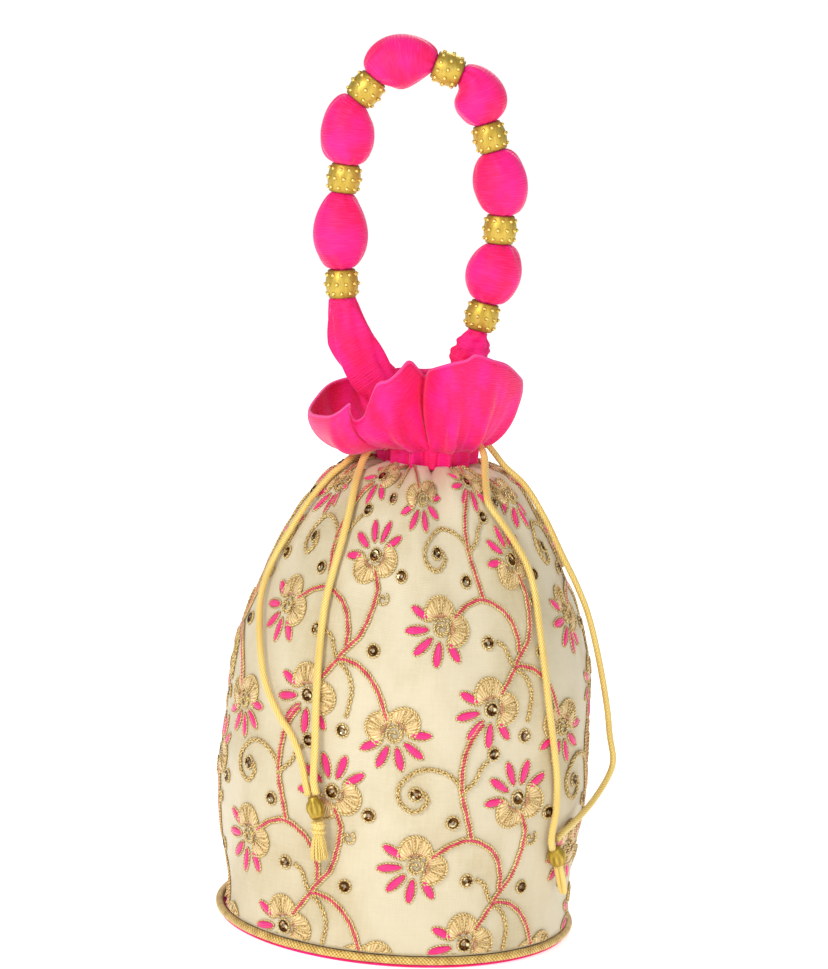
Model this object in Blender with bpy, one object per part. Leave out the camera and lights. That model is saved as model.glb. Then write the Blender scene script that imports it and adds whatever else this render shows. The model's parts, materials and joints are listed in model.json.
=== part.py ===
"""A gathered potli bag with a frilled neck, two drawstrings and a stuffed, beaded handle.

The bag stands on its round base at the origin, +Z up, with its embroidered front facing -Y.
Sizes are written in millimetres and turned into metres by MM.
"""

import bmesh
import bpy
from math import ceil, cos, pi, radians, sin, sqrt
from mathutils import Matrix, Vector

MM = 0.001
GAP = 0.3  # clearance between pieces that touch

# The bag's side, from the base seam up to the neck: (radius, height).
SIDE = [
    (68.3, 4.7), (68.6, 16.0), (69.2, 33.0), (70.3, 47.0), (71.0, 62.0), (70.1, 80.0),
    (69.7, 93.0), (68.6, 107.0), (66.0, 118.0), (62.4, 129.5), (57.8, 139.5), (53.0, 150.5),
    (46.0, 162.5), (38.0, 173.5), (28.5, 180.5), (19.0, 184.5),
]
SHELL_WALL = 1.2
LINING_WALL = 0.8
BASE_RADIUS = 68.3
BASE_CLOTH = 1.2
BOARD_RADIUS = 64.0
BOARD_THICKNESS = 2.0
PIPING_RADIUS = 1.45

# The neck: a sewn channel round the mouth that holds both drawstrings, and the frill above it.
NECK_RADIUS = 19.0
MOUTH_RADIUS = 9.0
CASING_BOTTOM = 184.8
CASING_TOP = 194.4
CHANNEL = (11.8, 16.0, 185.6, 192.8)  # inner radius, outer radius, bottom, top
FRILL_REACH = 43.0
FRILL_TOP = 210.0
FRILL_LEAN = 7.0  # the frill hangs lower and wider on the left than on the right
WINDOW_WIDTH = 15.0

# The drawstrings: round satin cords, one out of each side of the neck.
CORD_RADIUS = 1.5
CORD_RING = 14.0
CORD_FORK = 9.0  # degrees between a window's middle and each strand
SIDES = {
    # name: (bearing of the window, height of the cord in the casing, window's bottom and top)
    "left": (-160.0, 187.4, 185.4, 189.2),
    "right": (-20.0, 190.9, 189.1, 193.0),
}
STRANDS = {
    "left_drawstring_outer": [
        (-18.8, -3.7, 187.4), (-22.8, -4.4, 187.0), (-26.2, -7.8, 184.9), (-30.5, -12.5, 180.4),
        (-36.0, -15.5, 175.6), (-43.9, -17.8, 164.8), (-50.3, -19.3, 153.1), (-56.0, -20.0, 141.0),
        (-58.7, -26.0, 130.8), (-58.7, -32.6, 121.9), (-57.0, -41.0, 110.1), (-54.0, -47.2, 99.8),
        (-48.2, -53.8, 90.1), (-42.4, -59.0, 83.2), (-38.3, -62.8, 74.5), (-36.2, -65.4, 67.2),
        (-34.9, -66.3, 63.0),
    ],
    "left_drawstring_inner": [
        (-16.8, -9.3, 187.4), (-20.3, -11.2, 187.0), (-22.9, -15.3, 184.8), (-24.6, -21.5, 180.4),
        (-26.0, -29.5, 175.4), (-27.0, -36.2, 168.0), (-29.2, -43.4, 156.3), (-32.0, -48.8, 143.5),
        (-33.9, -53.8, 132.1), (-34.6, -59.5, 115.7), (-34.5, -62.9, 99.3), (-33.8, -64.7, 82.9),
        (-33.5, -66.5, 72.0), (-33.2, -67.2, 68.2), (-32.1, -67.7, 64.2),
    ],
    "right_drawstring_outer": [
        (18.8, -3.7, 190.9), (22.8, -4.4, 190.4), (26.3, -5.0, 187.0), (30.5, -5.6, 182.4),
        (38.9, -6.2, 175.4), (47.2, -8.5, 163.8), (54.4, -11.5, 151.2), (61.2, -12.0, 139.3),
        (66.8, -11.5, 127.2), (72.2, -10.8, 109.8), (76.5, -10.5, 92.3), (78.4, -11.2, 81.3),
        (80.4, -12.6, 71.8), (78.6, -15.6, 65.4), (73.2, -22.9, 57.6), (66.8, -32.6, 52.0),
        (62.2, -39.4, 49.2), (59.6, -43.0, 46.5),
    ],
    "right_drawstring_inner": [
        (16.8, -9.3, 190.9), (20.3, -11.2, 190.5), (22.2, -16.3, 187.0), (22.8, -23.5, 181.4),
        (23.6, -29.5, 176.8), (24.8, -34.4, 172.3), (29.6, -35.6, 166.5), (35.5, -36.4, 158.8),
        (40.8, -37.7, 150.5), (44.3, -40.0, 141.0), (47.0, -45.2, 128.5), (50.2, -48.6, 112.4),
        (52.7, -49.0, 98.8), (55.5, -47.0, 84.9), (57.8, -45.4, 71.4), (58.4, -45.8, 59.0),
        (57.4, -46.7, 48.5), (58.2, -45.3, 43.6),
    ],
}
CORD_STEP = 7.5  # distance between a cord's points
CASED_CORD_STEP = 3.8

# The pieces on the drawstrings' ends: (centre of the bead, direction that the tail hangs in).
END_BEADS = {
    "left": ((-32.1, -67.7, 59.3), (0.307, -0.146, -0.940)),
    "right": ((60.0, -42.5, 40.4), (0.229, 0.352, -0.907)),
}
TASSEL_LEAN = (0.09, 0.04, -0.995)

# The handle, in the XZ plane: each bead's centre (x, z) and its tilt from +Z towards +X.
BEADS = [
    (-36.6, 247.8, -6.0), (-38.4, 287.9, 3.0), (-32.4, 322.0, 34.0), (-1.9, 331.7, 108.0),
    (15.8, 307.2, 160.0), (22.1, 272.6, 180.0), (17.6, 239.0, 191.0),
]
BEAD_LENGTH = 10.8
BEAD_RADIUS = 6.35
BEAD_END_RADIUS = 5.2
BEAD_BORE = 4.0
SLEEVE_NECK = 3.4
SLEEVE_WALL = 0.8
PUFF_RADII = [10.6, 10.4, 10.6, 10.0, 10.6, 10.6]
HANDLE_START = (-15.0, 204.5, -44.0)
HANDLE_END = (11.5, 206.0, 183.0)
STRAP_RADIUS = 5.4  # the sleeve where it flattens out below the last beads
STRAP_END = 3.8  # and where it is sewn in
STRAP_FLATNESS = 0.5


def clear_scene():
    for thing in list(bpy.data.objects):
        bpy.data.objects.remove(thing, do_unlink=True)


def finish_of(name, colour, roughness, metallic=0.0):
    material = bpy.data.materials.new(name)
    material.use_nodes = True
    shader = material.node_tree.nodes["Principled BSDF"]
    shader.inputs["Base Color"].default_value = (*colour, 1.0)
    shader.inputs["Roughness"].default_value = roughness
    shader.inputs["Metallic"].default_value = metallic
    return material


def add_object(name, data, material):
    piece = bpy.data.objects.new(name, data)
    data.materials.append(material)
    bpy.context.collection.objects.link(piece)
    return piece


def face_outwards(bm):
    bmesh.ops.recalc_face_normals(bm, faces=bm.faces)
    if bm.calc_volume(signed=True) < 0:
        bmesh.ops.reverse_faces(bm, faces=bm.faces)


def mesh_object(name, bm, material):
    face_outwards(bm)
    mesh = bpy.data.meshes.new(name)
    bm.to_mesh(mesh)
    bm.free()
    mesh.shade_smooth()
    mesh.set_sharp_from_angle(angle=radians(40))
    return add_object(name, mesh, material)


def turned(outline, steps):
    """A closed mesh turned about Z from (radius, height) points; an outline off the axis is closed into a ring."""
    bm = bmesh.new()
    points = [bm.verts.new((r * MM, 0, z * MM)) for r, z in outline]
    edges = [bm.edges.new(pair) for pair in zip(points, points[1:])]
    if outline[0][0] > 0:
        edges.append(bm.edges.new((points[-1], points[0])))
    bmesh.ops.spin(
        bm, geom=points + edges, cent=(0, 0, 0), axis=(0, 0, 1), dvec=(0, 0, 0),
        angle=2 * pi, steps=steps, use_merge=True, use_duplicate=False,
    )
    bmesh.ops.remove_doubles(bm, verts=bm.verts, dist=1e-6)
    return bm


def point_along(piece, place, direction):
    """Stands a turned piece at a place, with its +Z along a direction."""
    piece.matrix_world = (
        Matrix.Translation(Vector(place) * MM)
        @ Vector(direction).to_track_quat("Z", "Y").to_matrix().to_4x4()
    )


def smooth_route(route, step):
    """Evenly spaced points on a smooth curve through a route's own points."""
    route = [Vector(p) for p in route]
    padded = [2 * route[0] - route[1], *route, 2 * route[-1] - route[-2]]
    fine = []
    for before, start, end, after in zip(padded, padded[1:], padded[2:], padded[3:]):
        for k in range(12):
            t = k / 12
            fine.append(
                0.5 * (
                    2 * start + (end - before) * t
                    + (2 * before - 5 * start + 4 * end - after) * t**2
                    + (3 * start - before - 3 * end + after) * t**3
                )
            )
    fine.append(route[-1])
    return evenly(fine, step)


def evenly(fine, step):
    reach = [0.0]
    for a, b in zip(fine, fine[1:]):
        reach.append(reach[-1] + (b - a).length)
    count = max(2, ceil(reach[-1] / step))
    points = []
    k = 0
    for i in range(count + 1):
        goal = reach[-1] * i / count
        while k < len(fine) - 2 and reach[k + 1] < goal:
            k += 1
        span = reach[k + 1] - reach[k]
        points.append(fine[k].lerp(fine[k + 1], (goal - reach[k]) / span))
    return points


def cord(name, route, step, material):
    curve = bpy.data.curves.new(name, "CURVE")
    curve.dimensions = "3D"
    curve.bevel_depth = CORD_RADIUS * MM
    curve.bevel_resolution = 2
    curve.use_fill_caps = True
    curve.render_resolution_u = 0
    points = smooth_route(route, step)
    spline = curve.splines.new("POLY")
    spline.points.add(len(points) - 1)
    for knot, point in zip(spline.points, points):
        knot.co = (*(point * MM), 1.0)
    return add_object(name, curve, material)


def wall_inside(offset):
    """The bag's side moved in by a distance, from the neck down."""
    inside = []
    for k, (r, z) in enumerate(SIDE):
        before, after = SIDE[max(k - 1, 0)], SIDE[min(k + 1, len(SIDE) - 1)]
        run, rise = after[0] - before[0], after[1] - before[1]
        length = sqrt(run**2 + rise**2)
        inside.append((r - offset * rise / length, z + offset * run / length))
    inside[-1] = (NECK_RADIUS - offset, SIDE[-1][1])
    return inside[::-1]


def make_outer_shell():
    cloth = finish_of("cream_satin", (0.73, 0.64, 0.45), 0.55)
    inner = wall_inside(SHELL_WALL)
    inner[-1] = (inner[-1][0], SIDE[0][1])
    mesh_object("outer_shell", turned(SIDE + inner, 36), cloth)


def make_lining():
    cloth = finish_of("lining_cotton", (0.75, 0.70, 0.58), 0.8)
    floor = 2 * GAP + BASE_CLOTH + BOARD_THICKNESS + 0.3
    outer = wall_inside(SHELL_WALL + GAP)[:-1]
    inner = wall_inside(SHELL_WALL + GAP + LINING_WALL)[:-1]
    corner = SIDE[0][0] - SHELL_WALL - GAP
    outline = [(0, floor), (corner - 0.6, floor), (corner, floor + 1.5)]
    outline += outer[::-1] + inner
    outline += [(corner - LINING_WALL - 0.6, floor + LINING_WALL), (0, floor + LINING_WALL)]
    mesh_object("lining", turned(outline, 36), cloth)


def make_base():
    silk = finish_of("pink_silk", (0.82, 0.02, 0.16), 0.6)
    card = finish_of("grey_card", (0.35, 0.33, 0.30), 0.9)
    tissue = finish_of("gold_tissue", (0.62, 0.44, 0.14), 0.4, 0.4)
    panel = [
        (0, 0), (BASE_RADIUS - 0.4, 0), (BASE_RADIUS, 0.4),
        (BASE_RADIUS, BASE_CLOTH), (0, BASE_CLOTH),
    ]
    mesh_object("base_panel", turned(panel, 36), silk)
    low = BASE_CLOTH + GAP
    board = [(0, low), (BOARD_RADIUS, low), (BOARD_RADIUS, low + BOARD_THICKNESS)]
    board.append((0, low + BOARD_THICKNESS))
    mesh_object("base_board", turned(board, 36), card)
    middle = low + PIPING_RADIUS
    ring = [
        (BASE_RADIUS + 0.3 + PIPING_RADIUS * cos(a), middle + PIPING_RADIUS * sin(a))
        for a in (k * pi / 4 for k in range(8))
    ]
    mesh_object("base_piping", turned(ring, 36), tissue)


def lean_frill(bm):
    """Widens and lowers the frill on the left, narrows and raises it on the right."""
    for vert in bm.verts:
        x, y, z = vert.co / MM
        rise = z - CASING_TOP
        if rise <= 0:
            continue
        radius = sqrt(x * x + y * y)
        to_right = x / radius
        weight = min(rise / 8.0, 1.0)
        widen = 1 - weight * FRILL_LEAN * to_right / (FRILL_REACH - NECK_RADIUS)
        lift = 1 + weight * FRILL_LEAN * to_right / (FRILL_TOP - CASING_TOP)
        reach = NECK_RADIUS + (radius - NECK_RADIUS) * widen
        vert.co = Vector((x * reach / radius, y * reach / radius, CASING_TOP + rise * lift)) * MM


def cutter(name, bm):
    face_outwards(bm)
    mesh = bpy.data.meshes.new(name)
    bm.to_mesh(mesh)
    bm.free()
    tool = bpy.data.objects.new(name, mesh)
    bpy.context.collection.objects.link(tool)
    tool.hide_render = True
    tool.display_type = "WIRE"
    return tool


def cut(piece, tool):
    step = piece.modifiers.new(tool.name, "BOOLEAN")
    step.operation = "DIFFERENCE"
    step.solver = "EXACT"
    step.object = tool


def make_frill_collar():
    silk = finish_of("pink_frill_silk", (0.82, 0.02, 0.16), 0.6)
    outline = [
        (MOUTH_RADIUS, CASING_BOTTOM), (NECK_RADIUS, CASING_BOTTOM), (NECK_RADIUS, CASING_TOP),
        (22.0, 198.5), (28.0, 203.0), (35.0, 207.0), (FRILL_REACH, FRILL_TOP),
        (42.0, 211.6), (34.0, 208.8), (27.0, 205.0), (20.5, 200.6), (13.5, 197.0),
        (MOUTH_RADIUS, CASING_TOP),
    ]
    bm = turned(outline, 36)
    lean_frill(bm)
    collar = mesh_object("frill_collar", bm, silk)
    inner, outer, low, high = CHANNEL
    channel = turned([(inner, low), (outer, low), (outer, high), (inner, high)], 36)
    cut(collar, cutter("casing_channel", channel))
    for side, (bearing, _, bottom, top) in SIDES.items():
        window = bmesh.new()
        bmesh.ops.create_cube(window, size=1.0)
        depth = NECK_RADIUS - inner
        size = Matrix.Diagonal((depth * MM, WINDOW_WIDTH * MM, (top - bottom) * MM, 1))
        place = Matrix.Translation(Vector((inner + 2.5 + depth / 2, 0, (bottom + top) / 2)) * MM)
        turn = Matrix.Rotation(radians(bearing), 4, "Z")
        window.transform(turn @ place @ size)
        cut(collar, cutter(f"{side}_casing_window", window))


def casing_route(bearing, height):
    """Round the casing from one strand of a drawstring to its other, and out at the window."""
    way_out = [(18.4, CORD_FORK), (16.9, CORD_FORK + 0.3), (15.2, CORD_FORK + 3), (14.2, CORD_FORK + 10)]
    ring = [(CORD_RING, angle) for angle in range(36, 325, 18)]
    way_in = [(r, 360 - angle) for r, angle in way_out[::-1]]
    return [
        (r * cos(radians(bearing + angle)), r * sin(radians(bearing + angle)), height)
        for r, angle in way_out + ring + way_in
    ]


def make_drawstrings():
    satin = finish_of("gold_satin", (0.78, 0.60, 0.22), 0.35)
    for name, route in STRANDS.items():
        cord(name, route, CORD_STEP, satin)
    for side, (bearing, height, _, _) in SIDES.items():
        cord(f"{side}_drawstring_in_casing", casing_route(bearing, height), CASED_CORD_STEP, satin)


def make_end_beads():
    gilt = finish_of("gilt_end_bead", (0.60, 0.42, 0.13), 0.3, 1.0)
    sizes = {"left": (4.25, 2.8, 2.2), "right": (4.0, 3.25, 2.7)}  # half length, belly, ends
    for side, (centre, direction) in END_BEADS.items():
        half, belly, end = sizes[side]
        outline = [
            (0, -half), (end, -half), (belly, -half / 3), (belly, half / 3), (end, half), (0, half),
        ]
        bead = mesh_object(f"{side}_end_bead", turned(outline, 12), gilt)
        point_along(bead, centre, direction)


def below_bead(side, distance):
    centre, direction = END_BEADS[side]
    return Vector(centre) + distance * Vector(direction)


def make_tails():
    thread = finish_of("gold_thread_tassel", (0.70, 0.50, 0.18), 0.6)
    tassel = [
        (0, 0), (1.4, 0), (2.6, 1.6), (2.7, 3.6), (1.7, 5.4), (2.5, 8.0), (3.3, 15.6), (0, 15.6),
    ]
    piece = mesh_object("left_tassel", turned(tassel, 12), thread)
    point_along(piece, below_bead("left", 5.0), TASSEL_LEAN)
    satin = finish_of("gold_satin_tail", (0.78, 0.60, 0.22), 0.35)
    tail = [(0, 0), (1.5, 0), (1.9, 2.0), (1.9, 12.0), (1.2, 14.0), (0, 14.0)]
    piece = mesh_object("right_tail", turned(tail, 12), satin)
    point_along(piece, below_bead("right", 4.4), END_BEADS["right"][1])


def heading(tilt):
    return Vector((sin(radians(tilt)), 0, cos(radians(tilt))))


def handle_centreline():
    """Points down the middle of the handle, straight through each bead, and how far along each bead is."""
    stops = []
    half = BEAD_LENGTH / 2 + 0.8
    x, z, tilt = HANDLE_START
    stops.append((Vector((x, 0, z)), heading(tilt)))
    for x, z, tilt in BEADS:
        centre, axis = Vector((x, 0, z)), heading(tilt)
        stops += [(centre - half * axis, axis), (centre + half * axis, axis)]
    x, z, tilt = HANDLE_END
    stops.append((Vector((x, 0, z)), heading(tilt)))
    points, marks, length = [stops[0][0]], [0.0], 0.0
    for (start, leave), (end, arrive) in zip(stops, stops[1:]):
        chord = (end - start).length
        for k in range(1, 17):
            t = k / 16
            point = (
                (2 * t**3 - 3 * t**2 + 1) * start + (t**3 - 2 * t**2 + t) * chord * leave
                + (3 * t**2 - 2 * t**3) * end + (t**3 - t**2) * chord * arrive
            )
            length += (point - points[-1]).length
            points.append(point)
        marks.append(length)
    bead_marks = [(marks[k] + marks[k + 1]) / 2 for k in range(1, len(marks) - 1, 2)]
    return points, bead_marks


def bend_along(bm, points, shape=None):
    """Carries a piece turned about Z, its height the distance along, onto a line in the XZ plane."""
    reach = [0.0]
    for a, b in zip(points, points[1:]):
        reach.append(reach[-1] + (b - a).length)
    for vert in bm.verts:
        across, out, along = vert.co / MM
        along = min(max(along, 0.0), reach[-1])
        k = max(i for i in range(len(reach) - 1) if reach[i] <= along + 1e-6)
        share = (along - reach[k]) / (reach[k + 1] - reach[k])
        before, after = points[max(k - 1, 0)], points[min(k + 2, len(points) - 1)]
        tangent = (points[k + 1] - before).normalized().lerp(
            (after - points[k]).normalized(), share
        ).normalized()
        normal = Vector((tangent.z, 0, -tangent.x))
        wide, thick = shape(along) if shape else (1.0, 1.0)
        middle = points[k].lerp(points[k + 1], share)
        vert.co = (middle + across * wide * normal + Vector((0, out * thick, 0))) * MM


def puff_spans(marks):
    """Where each stuffed puff starts and ends along the handle, between neighbouring beads."""
    clear = BEAD_LENGTH / 2 + 0.5
    return [(a + clear, b - clear) for a, b in zip(marks, marks[1:])]


def swell(share):
    return sqrt(max(4 * share * (1 - share), 0.0))


def sleeve_outline(marks, length):
    """(radius, distance along) down the outside of the sleeve."""
    clear = BEAD_LENGTH / 2 + 0.5
    outline = [
        (STRAP_END, 0.0), (STRAP_RADIUS, 12.0), (STRAP_RADIUS, marks[0] - clear - 14),
        (4.2, marks[0] - clear - 4), (SLEEVE_NECK, marks[0] - clear),
    ]
    for (start, end), radius in zip(puff_spans(marks), PUFF_RADII):
        for share in (0.0, 0.04, 0.13, 0.3, 0.5, 0.7, 0.87, 0.96, 1.0):
            bulge = SLEEVE_NECK + (radius - SLEEVE_NECK) * swell(share)
            outline.append((bulge, start + share * (end - start)))
    outline += [
        (SLEEVE_NECK, marks[-1] + clear), (4.4, marks[-1] + clear + 4),
        (STRAP_RADIUS, marks[-1] + clear + 12), (STRAP_END, length),
    ]
    return outline


def make_handle_sleeve(points, marks, length):
    silk = finish_of("pink_handle_silk", (0.82, 0.02, 0.16), 0.6)
    outside = sleeve_outline(marks, length)
    inside = [(r - SLEEVE_WALL, s) for r, s in outside[::-1]]

    def flatten(along):
        below = max(marks[0] - along, along - marks[-1]) - BEAD_LENGTH / 2 - 1
        share = min(max(below / 14, 0.0), 1.0)
        return 1 + STRAP_FLATNESS * share, 1 - STRAP_FLATNESS * share

    bm = turned(outside + inside, 10)
    bend_along(bm, points, flatten)
    mesh_object("handle_sleeve", bm, silk)


def make_fillings(points, marks):
    fibre = finish_of("white_fibre", (0.85, 0.84, 0.80), 0.95)
    thinner = SLEEVE_WALL + 3 * GAP
    for number, ((start, end), radius) in enumerate(zip(puff_spans(marks), PUFF_RADII), 1):
        low, high = start + 3.0, end - 3.0
        outline = [(0.0, low)]
        for share in (0.04, 0.15, 0.32, 0.5, 0.68, 0.85, 0.96):
            along = low + share * (high - low)
            around = SLEEVE_NECK + (radius - SLEEVE_NECK) * swell((along - start) / (end - start))
            outline.append(((around - thinner) * min(1.0, 0.3 + 1.2 * swell(share)), along))
        outline.append((0.0, high))
        bm = turned(outline, 8)
        bend_along(bm, points)
        mesh_object(f"handle_filling_{number}", bm, fibre)


def make_handle_beads():
    gilt = finish_of("antique_gold_bead", (0.52, 0.38, 0.12), 0.35, 1.0)
    half = BEAD_LENGTH / 2
    shoulder = BEAD_RADIUS - 0.25
    outline = [
        (BEAD_BORE, -half), (BEAD_END_RADIUS, -half), (shoulder, -half / 2), (BEAD_RADIUS, 0),
        (shoulder, half / 2), (BEAD_END_RADIUS, half), (BEAD_BORE, half),
    ]
    for number, (x, z, tilt) in enumerate(BEADS, 1):
        bead = mesh_object(f"handle_bead_{number}", turned(outline, 16), gilt)
        point_along(bead, (x, 0, z), heading(tilt))


def make_handle():
    points, marks = handle_centreline()
    length = sum((b - a).length for a, b in zip(points, points[1:]))
    make_handle_sleeve(points, marks, length)
    make_fillings(points, marks)
    make_handle_beads()


clear_scene()
make_outer_shell()
make_lining()
make_base()
make_frill_collar()
make_drawstrings()
make_end_beads()
make_tails()
make_handle()
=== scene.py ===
# %% [markdown]
# # A potli bag
# A potli is a gathered Indian pouch. This one is cream satin with floral thread work and sequins, a pink
# silk frill above the neck, two gold satin drawstrings, and a stuffed silk handle strung with gold beads.
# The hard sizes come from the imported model, which is loaded first as a fixed frame. Everything here is
# cloth, thread and cord laid over it.

# %% Load the frame
import json
from math import ceil, cos, pi, radians, sin

import bmesh
import bpy
import numpy as np
from mathutils import Matrix, Vector


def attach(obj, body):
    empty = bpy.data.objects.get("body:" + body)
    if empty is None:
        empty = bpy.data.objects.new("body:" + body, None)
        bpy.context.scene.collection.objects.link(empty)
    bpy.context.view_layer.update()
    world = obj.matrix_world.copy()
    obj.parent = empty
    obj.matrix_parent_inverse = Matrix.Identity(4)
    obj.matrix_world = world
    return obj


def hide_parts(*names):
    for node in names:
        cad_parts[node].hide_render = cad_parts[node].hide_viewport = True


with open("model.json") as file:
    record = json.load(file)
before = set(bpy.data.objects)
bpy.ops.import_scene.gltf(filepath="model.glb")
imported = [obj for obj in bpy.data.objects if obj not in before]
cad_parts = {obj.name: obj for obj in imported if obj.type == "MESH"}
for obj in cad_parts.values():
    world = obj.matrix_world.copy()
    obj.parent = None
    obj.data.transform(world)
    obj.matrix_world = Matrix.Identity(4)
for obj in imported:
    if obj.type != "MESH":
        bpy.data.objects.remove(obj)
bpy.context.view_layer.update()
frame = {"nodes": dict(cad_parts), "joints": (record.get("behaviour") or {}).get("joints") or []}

MM = 0.001

# %% [markdown]
# ## The camera
# A long lens far from the bag keeps its upright lines nearly parallel. The lens looks down by less than ten
# degrees and is rolled by four, so the bag seems to lean a little to the right.

# %% The camera
LENS = 135.0
DISTANCE = 1.4
LOOK_DOWN = radians(9.5)
ROLL = radians(4.0)
AIM = Vector((-0.0038, 0.0, 0.172))


def add_camera():
    data = bpy.data.cameras.new("camera")
    data.lens = LENS
    data.sensor_width = 36.0
    camera = bpy.data.objects.new("camera", data)
    forward = Vector((0, cos(LOOK_DOWN), -sin(LOOK_DOWN)))
    right = Vector((1, 0, 0))
    up = right.cross(forward)
    side = cos(ROLL) * right + sin(ROLL) * up
    top = -sin(ROLL) * right + cos(ROLL) * up
    turn = Matrix((side, top, -forward)).transposed().to_4x4()
    camera.matrix_world = Matrix.Translation(AIM - DISTANCE * forward) @ turn
    bpy.context.collection.objects.link(camera)
    bpy.context.scene.camera = camera


add_camera()

# %% [markdown]
# ## Floor and light
# The bag stands on a plain white floor in a white room. One wide lamp to the upper left of the camera gives
# the folds a bright side and a dark side, and a weaker one on the right keeps the far side open.

# %% Floor and lights
def add_lamp(name, place, width, power):
    data = bpy.data.lights.new(name, "AREA")
    data.shape = "DISK"
    data.size = width
    data.energy = power
    lamp = bpy.data.objects.new(name, data)
    aim = Vector((0, 0, 0.16)) - Vector(place)
    lamp.matrix_world = Matrix.Translation(place) @ aim.to_track_quat("-Z", "Y").to_matrix().to_4x4()
    bpy.context.collection.objects.link(lamp)


def add_floor():
    bm = bmesh.new()
    bmesh.ops.create_grid(bm, x_segments=1, y_segments=1, size=30.0)
    mesh = bpy.data.meshes.new("floor")
    bm.to_mesh(mesh)
    bm.free()
    floor = bpy.data.objects.new("floor", mesh)
    bpy.context.collection.objects.link(floor)
    white = bpy.data.materials.new("floor_white")
    white.use_nodes = True
    shader = white.node_tree.nodes["Principled BSDF"]
    shader.inputs["Base Color"].default_value = (0.93, 0.93, 0.93, 1)
    shader.inputs["Roughness"].default_value = 0.9
    shader.inputs["Emission Color"].default_value = (1, 1, 1, 1)
    shader.inputs["Emission Strength"].default_value = 0.6
    mesh.materials.append(white)


add_floor()
add_lamp("key_lamp", (-0.75, -1.1, 0.95), 0.5, 12.0)
add_lamp("fill_lamp", (0.8, -1.2, 0.5), 0.9, 4.0)
add_lamp("back_lamp", (0.2, 1.3, 1.1), 0.8, 8.0)


def add_room(seen, felt):
    """A white room: its walls look as bright as seen, and light the bag as strongly as felt."""
    room = bpy.data.worlds.new("white_room")
    room.use_nodes = True
    nodes = room.node_tree.nodes
    wall, glow, mix = (nodes.new(kind) for kind in (
        "ShaderNodeBackground", "ShaderNodeBackground", "ShaderNodeMixShader"))
    wall.inputs["Strength"].default_value = felt
    glow.inputs["Strength"].default_value = seen
    for background in (wall, glow):
        background.inputs["Color"].default_value = (1, 1, 1, 1)
    links = room.node_tree.links
    links.new(nodes.new("ShaderNodeLightPath").outputs["Is Camera Ray"], mix.inputs["Fac"])
    links.new(wall.outputs["Background"], mix.inputs[1])
    links.new(glow.outputs["Background"], mix.inputs[2])
    links.new(mix.outputs["Shader"], nodes["World Output"].inputs["Surface"])
    bpy.context.scene.world = room


add_room(1.0, 0.45)
bpy.context.scene.view_settings.view_transform = "Standard"

# %% [markdown]
# ## Writing materials as sums
# A material is a graph of small nodes. Wired by hand it is long and hard to read, so one small class wraps a
# node's output: a sum written on it, such as 1 - mask, adds the Math node that does it. Its node() method
# adds any other kind of node, with its settings first and then its inputs.

# %% A wire that can be added and multiplied
class Wire:
    """An output of a node. Sums on it add Math nodes."""

    def __init__(self, tree, socket=None):
        self.tree = tree
        self.socket = socket

    def node(self, kind, settings=None, inputs=None, output=0):
        made = self.tree.nodes.new("ShaderNode" + kind)
        for name, value in (settings or {}).items():
            if name == "stops":
                place_stops(made.color_ramp, value)
            else:
                setattr(made, name, value)
        for name, value in (inputs or {}).items():
            if isinstance(value, Wire):
                self.tree.links.new(value.socket, made.inputs[name])
            else:
                made.inputs[name].default_value = value
        return Wire(self.tree, made.outputs[output])

    def sum(self, operation, first, second=0.0):
        return self.node("Math", {"operation": operation}, {0: first, 1: second})

    def __add__(self, other):
        return self.sum("ADD", self, other)

    def __radd__(self, other):
        return self.sum("ADD", other, self)

    def __sub__(self, other):
        return self.sum("SUBTRACT", self, other)

    def __rsub__(self, other):
        return self.sum("SUBTRACT", other, self)

    def __mul__(self, other):
        return self.sum("MULTIPLY", self, other)

    def __rmul__(self, other):
        return self.sum("MULTIPLY", other, self)

    def __truediv__(self, other):
        return self.sum("DIVIDE", self, other)

    def __pow__(self, other):
        return self.sum("POWER", self, other)

    def wave(self):
        """From 0 to 1 and back, once for each unit."""
        return 0.5 + 0.5 * self.sum("SINE", self * (2 * pi))

    def clip(self, low, high):
        """0 below low, 1 above high, and a smooth slope between them."""
        return self.node(
            "MapRange", {"interpolation_type": "SMOOTHSTEP"},
            {"Value": self, "From Min": low, "From Max": high},
        )


def place_stops(ramp, stops):
    for k, (place, colour) in enumerate(stops):
        stop = ramp.elements[k] if k < 2 else ramp.elements.new(place)
        stop.position = place
        stop.color = (*colour, 1.0)


# %% Colours, blends and bumps
def linear(red, green, blue):
    """A colour as it looks on a screen, 0 to 255, turned into the light that the shader needs."""
    parts = []
    for level in (red, green, blue):
        level = level / 255
        parts.append(level / 12.92 if level <= 0.04045 else ((level + 0.055) / 1.055) ** 2.4)
    return tuple(parts)


def blend_colours(wire, share, first, second):
    """The first colour where the share is 0, the second where it is 1."""
    inputs = {0: share}
    for name, colour in ((6, first), (7, second)):
        inputs[name] = colour if isinstance(colour, Wire) else (*colour, 1.0)
    return wire.node("Mix", {"data_type": "RGBA"}, inputs, 2)


def across_and_along(wire, name):
    """The two numbers of a UV map."""
    uv = wire.node("UVMap", {"uv_map": name})
    across = wire.node("SeparateXYZ", None, {"Vector": uv}, 0)
    along = wire.node("SeparateXYZ", None, {"Vector": uv}, 1)
    return uv, across, along


def stretched(wire, vector, scale):
    return wire.node("Mapping", None, {"Vector": vector, "Scale": scale})


def cloudy(wire, vector, scale, detail=2.0):
    return wire.node("TexNoise", None, {"Vector": vector, "Scale": scale, "Detail": detail})


def bumped(wire, height, distance, strength=1.0):
    return wire.node("Bump", None, {"Height": height, "Distance": distance, "Strength": strength})


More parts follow.
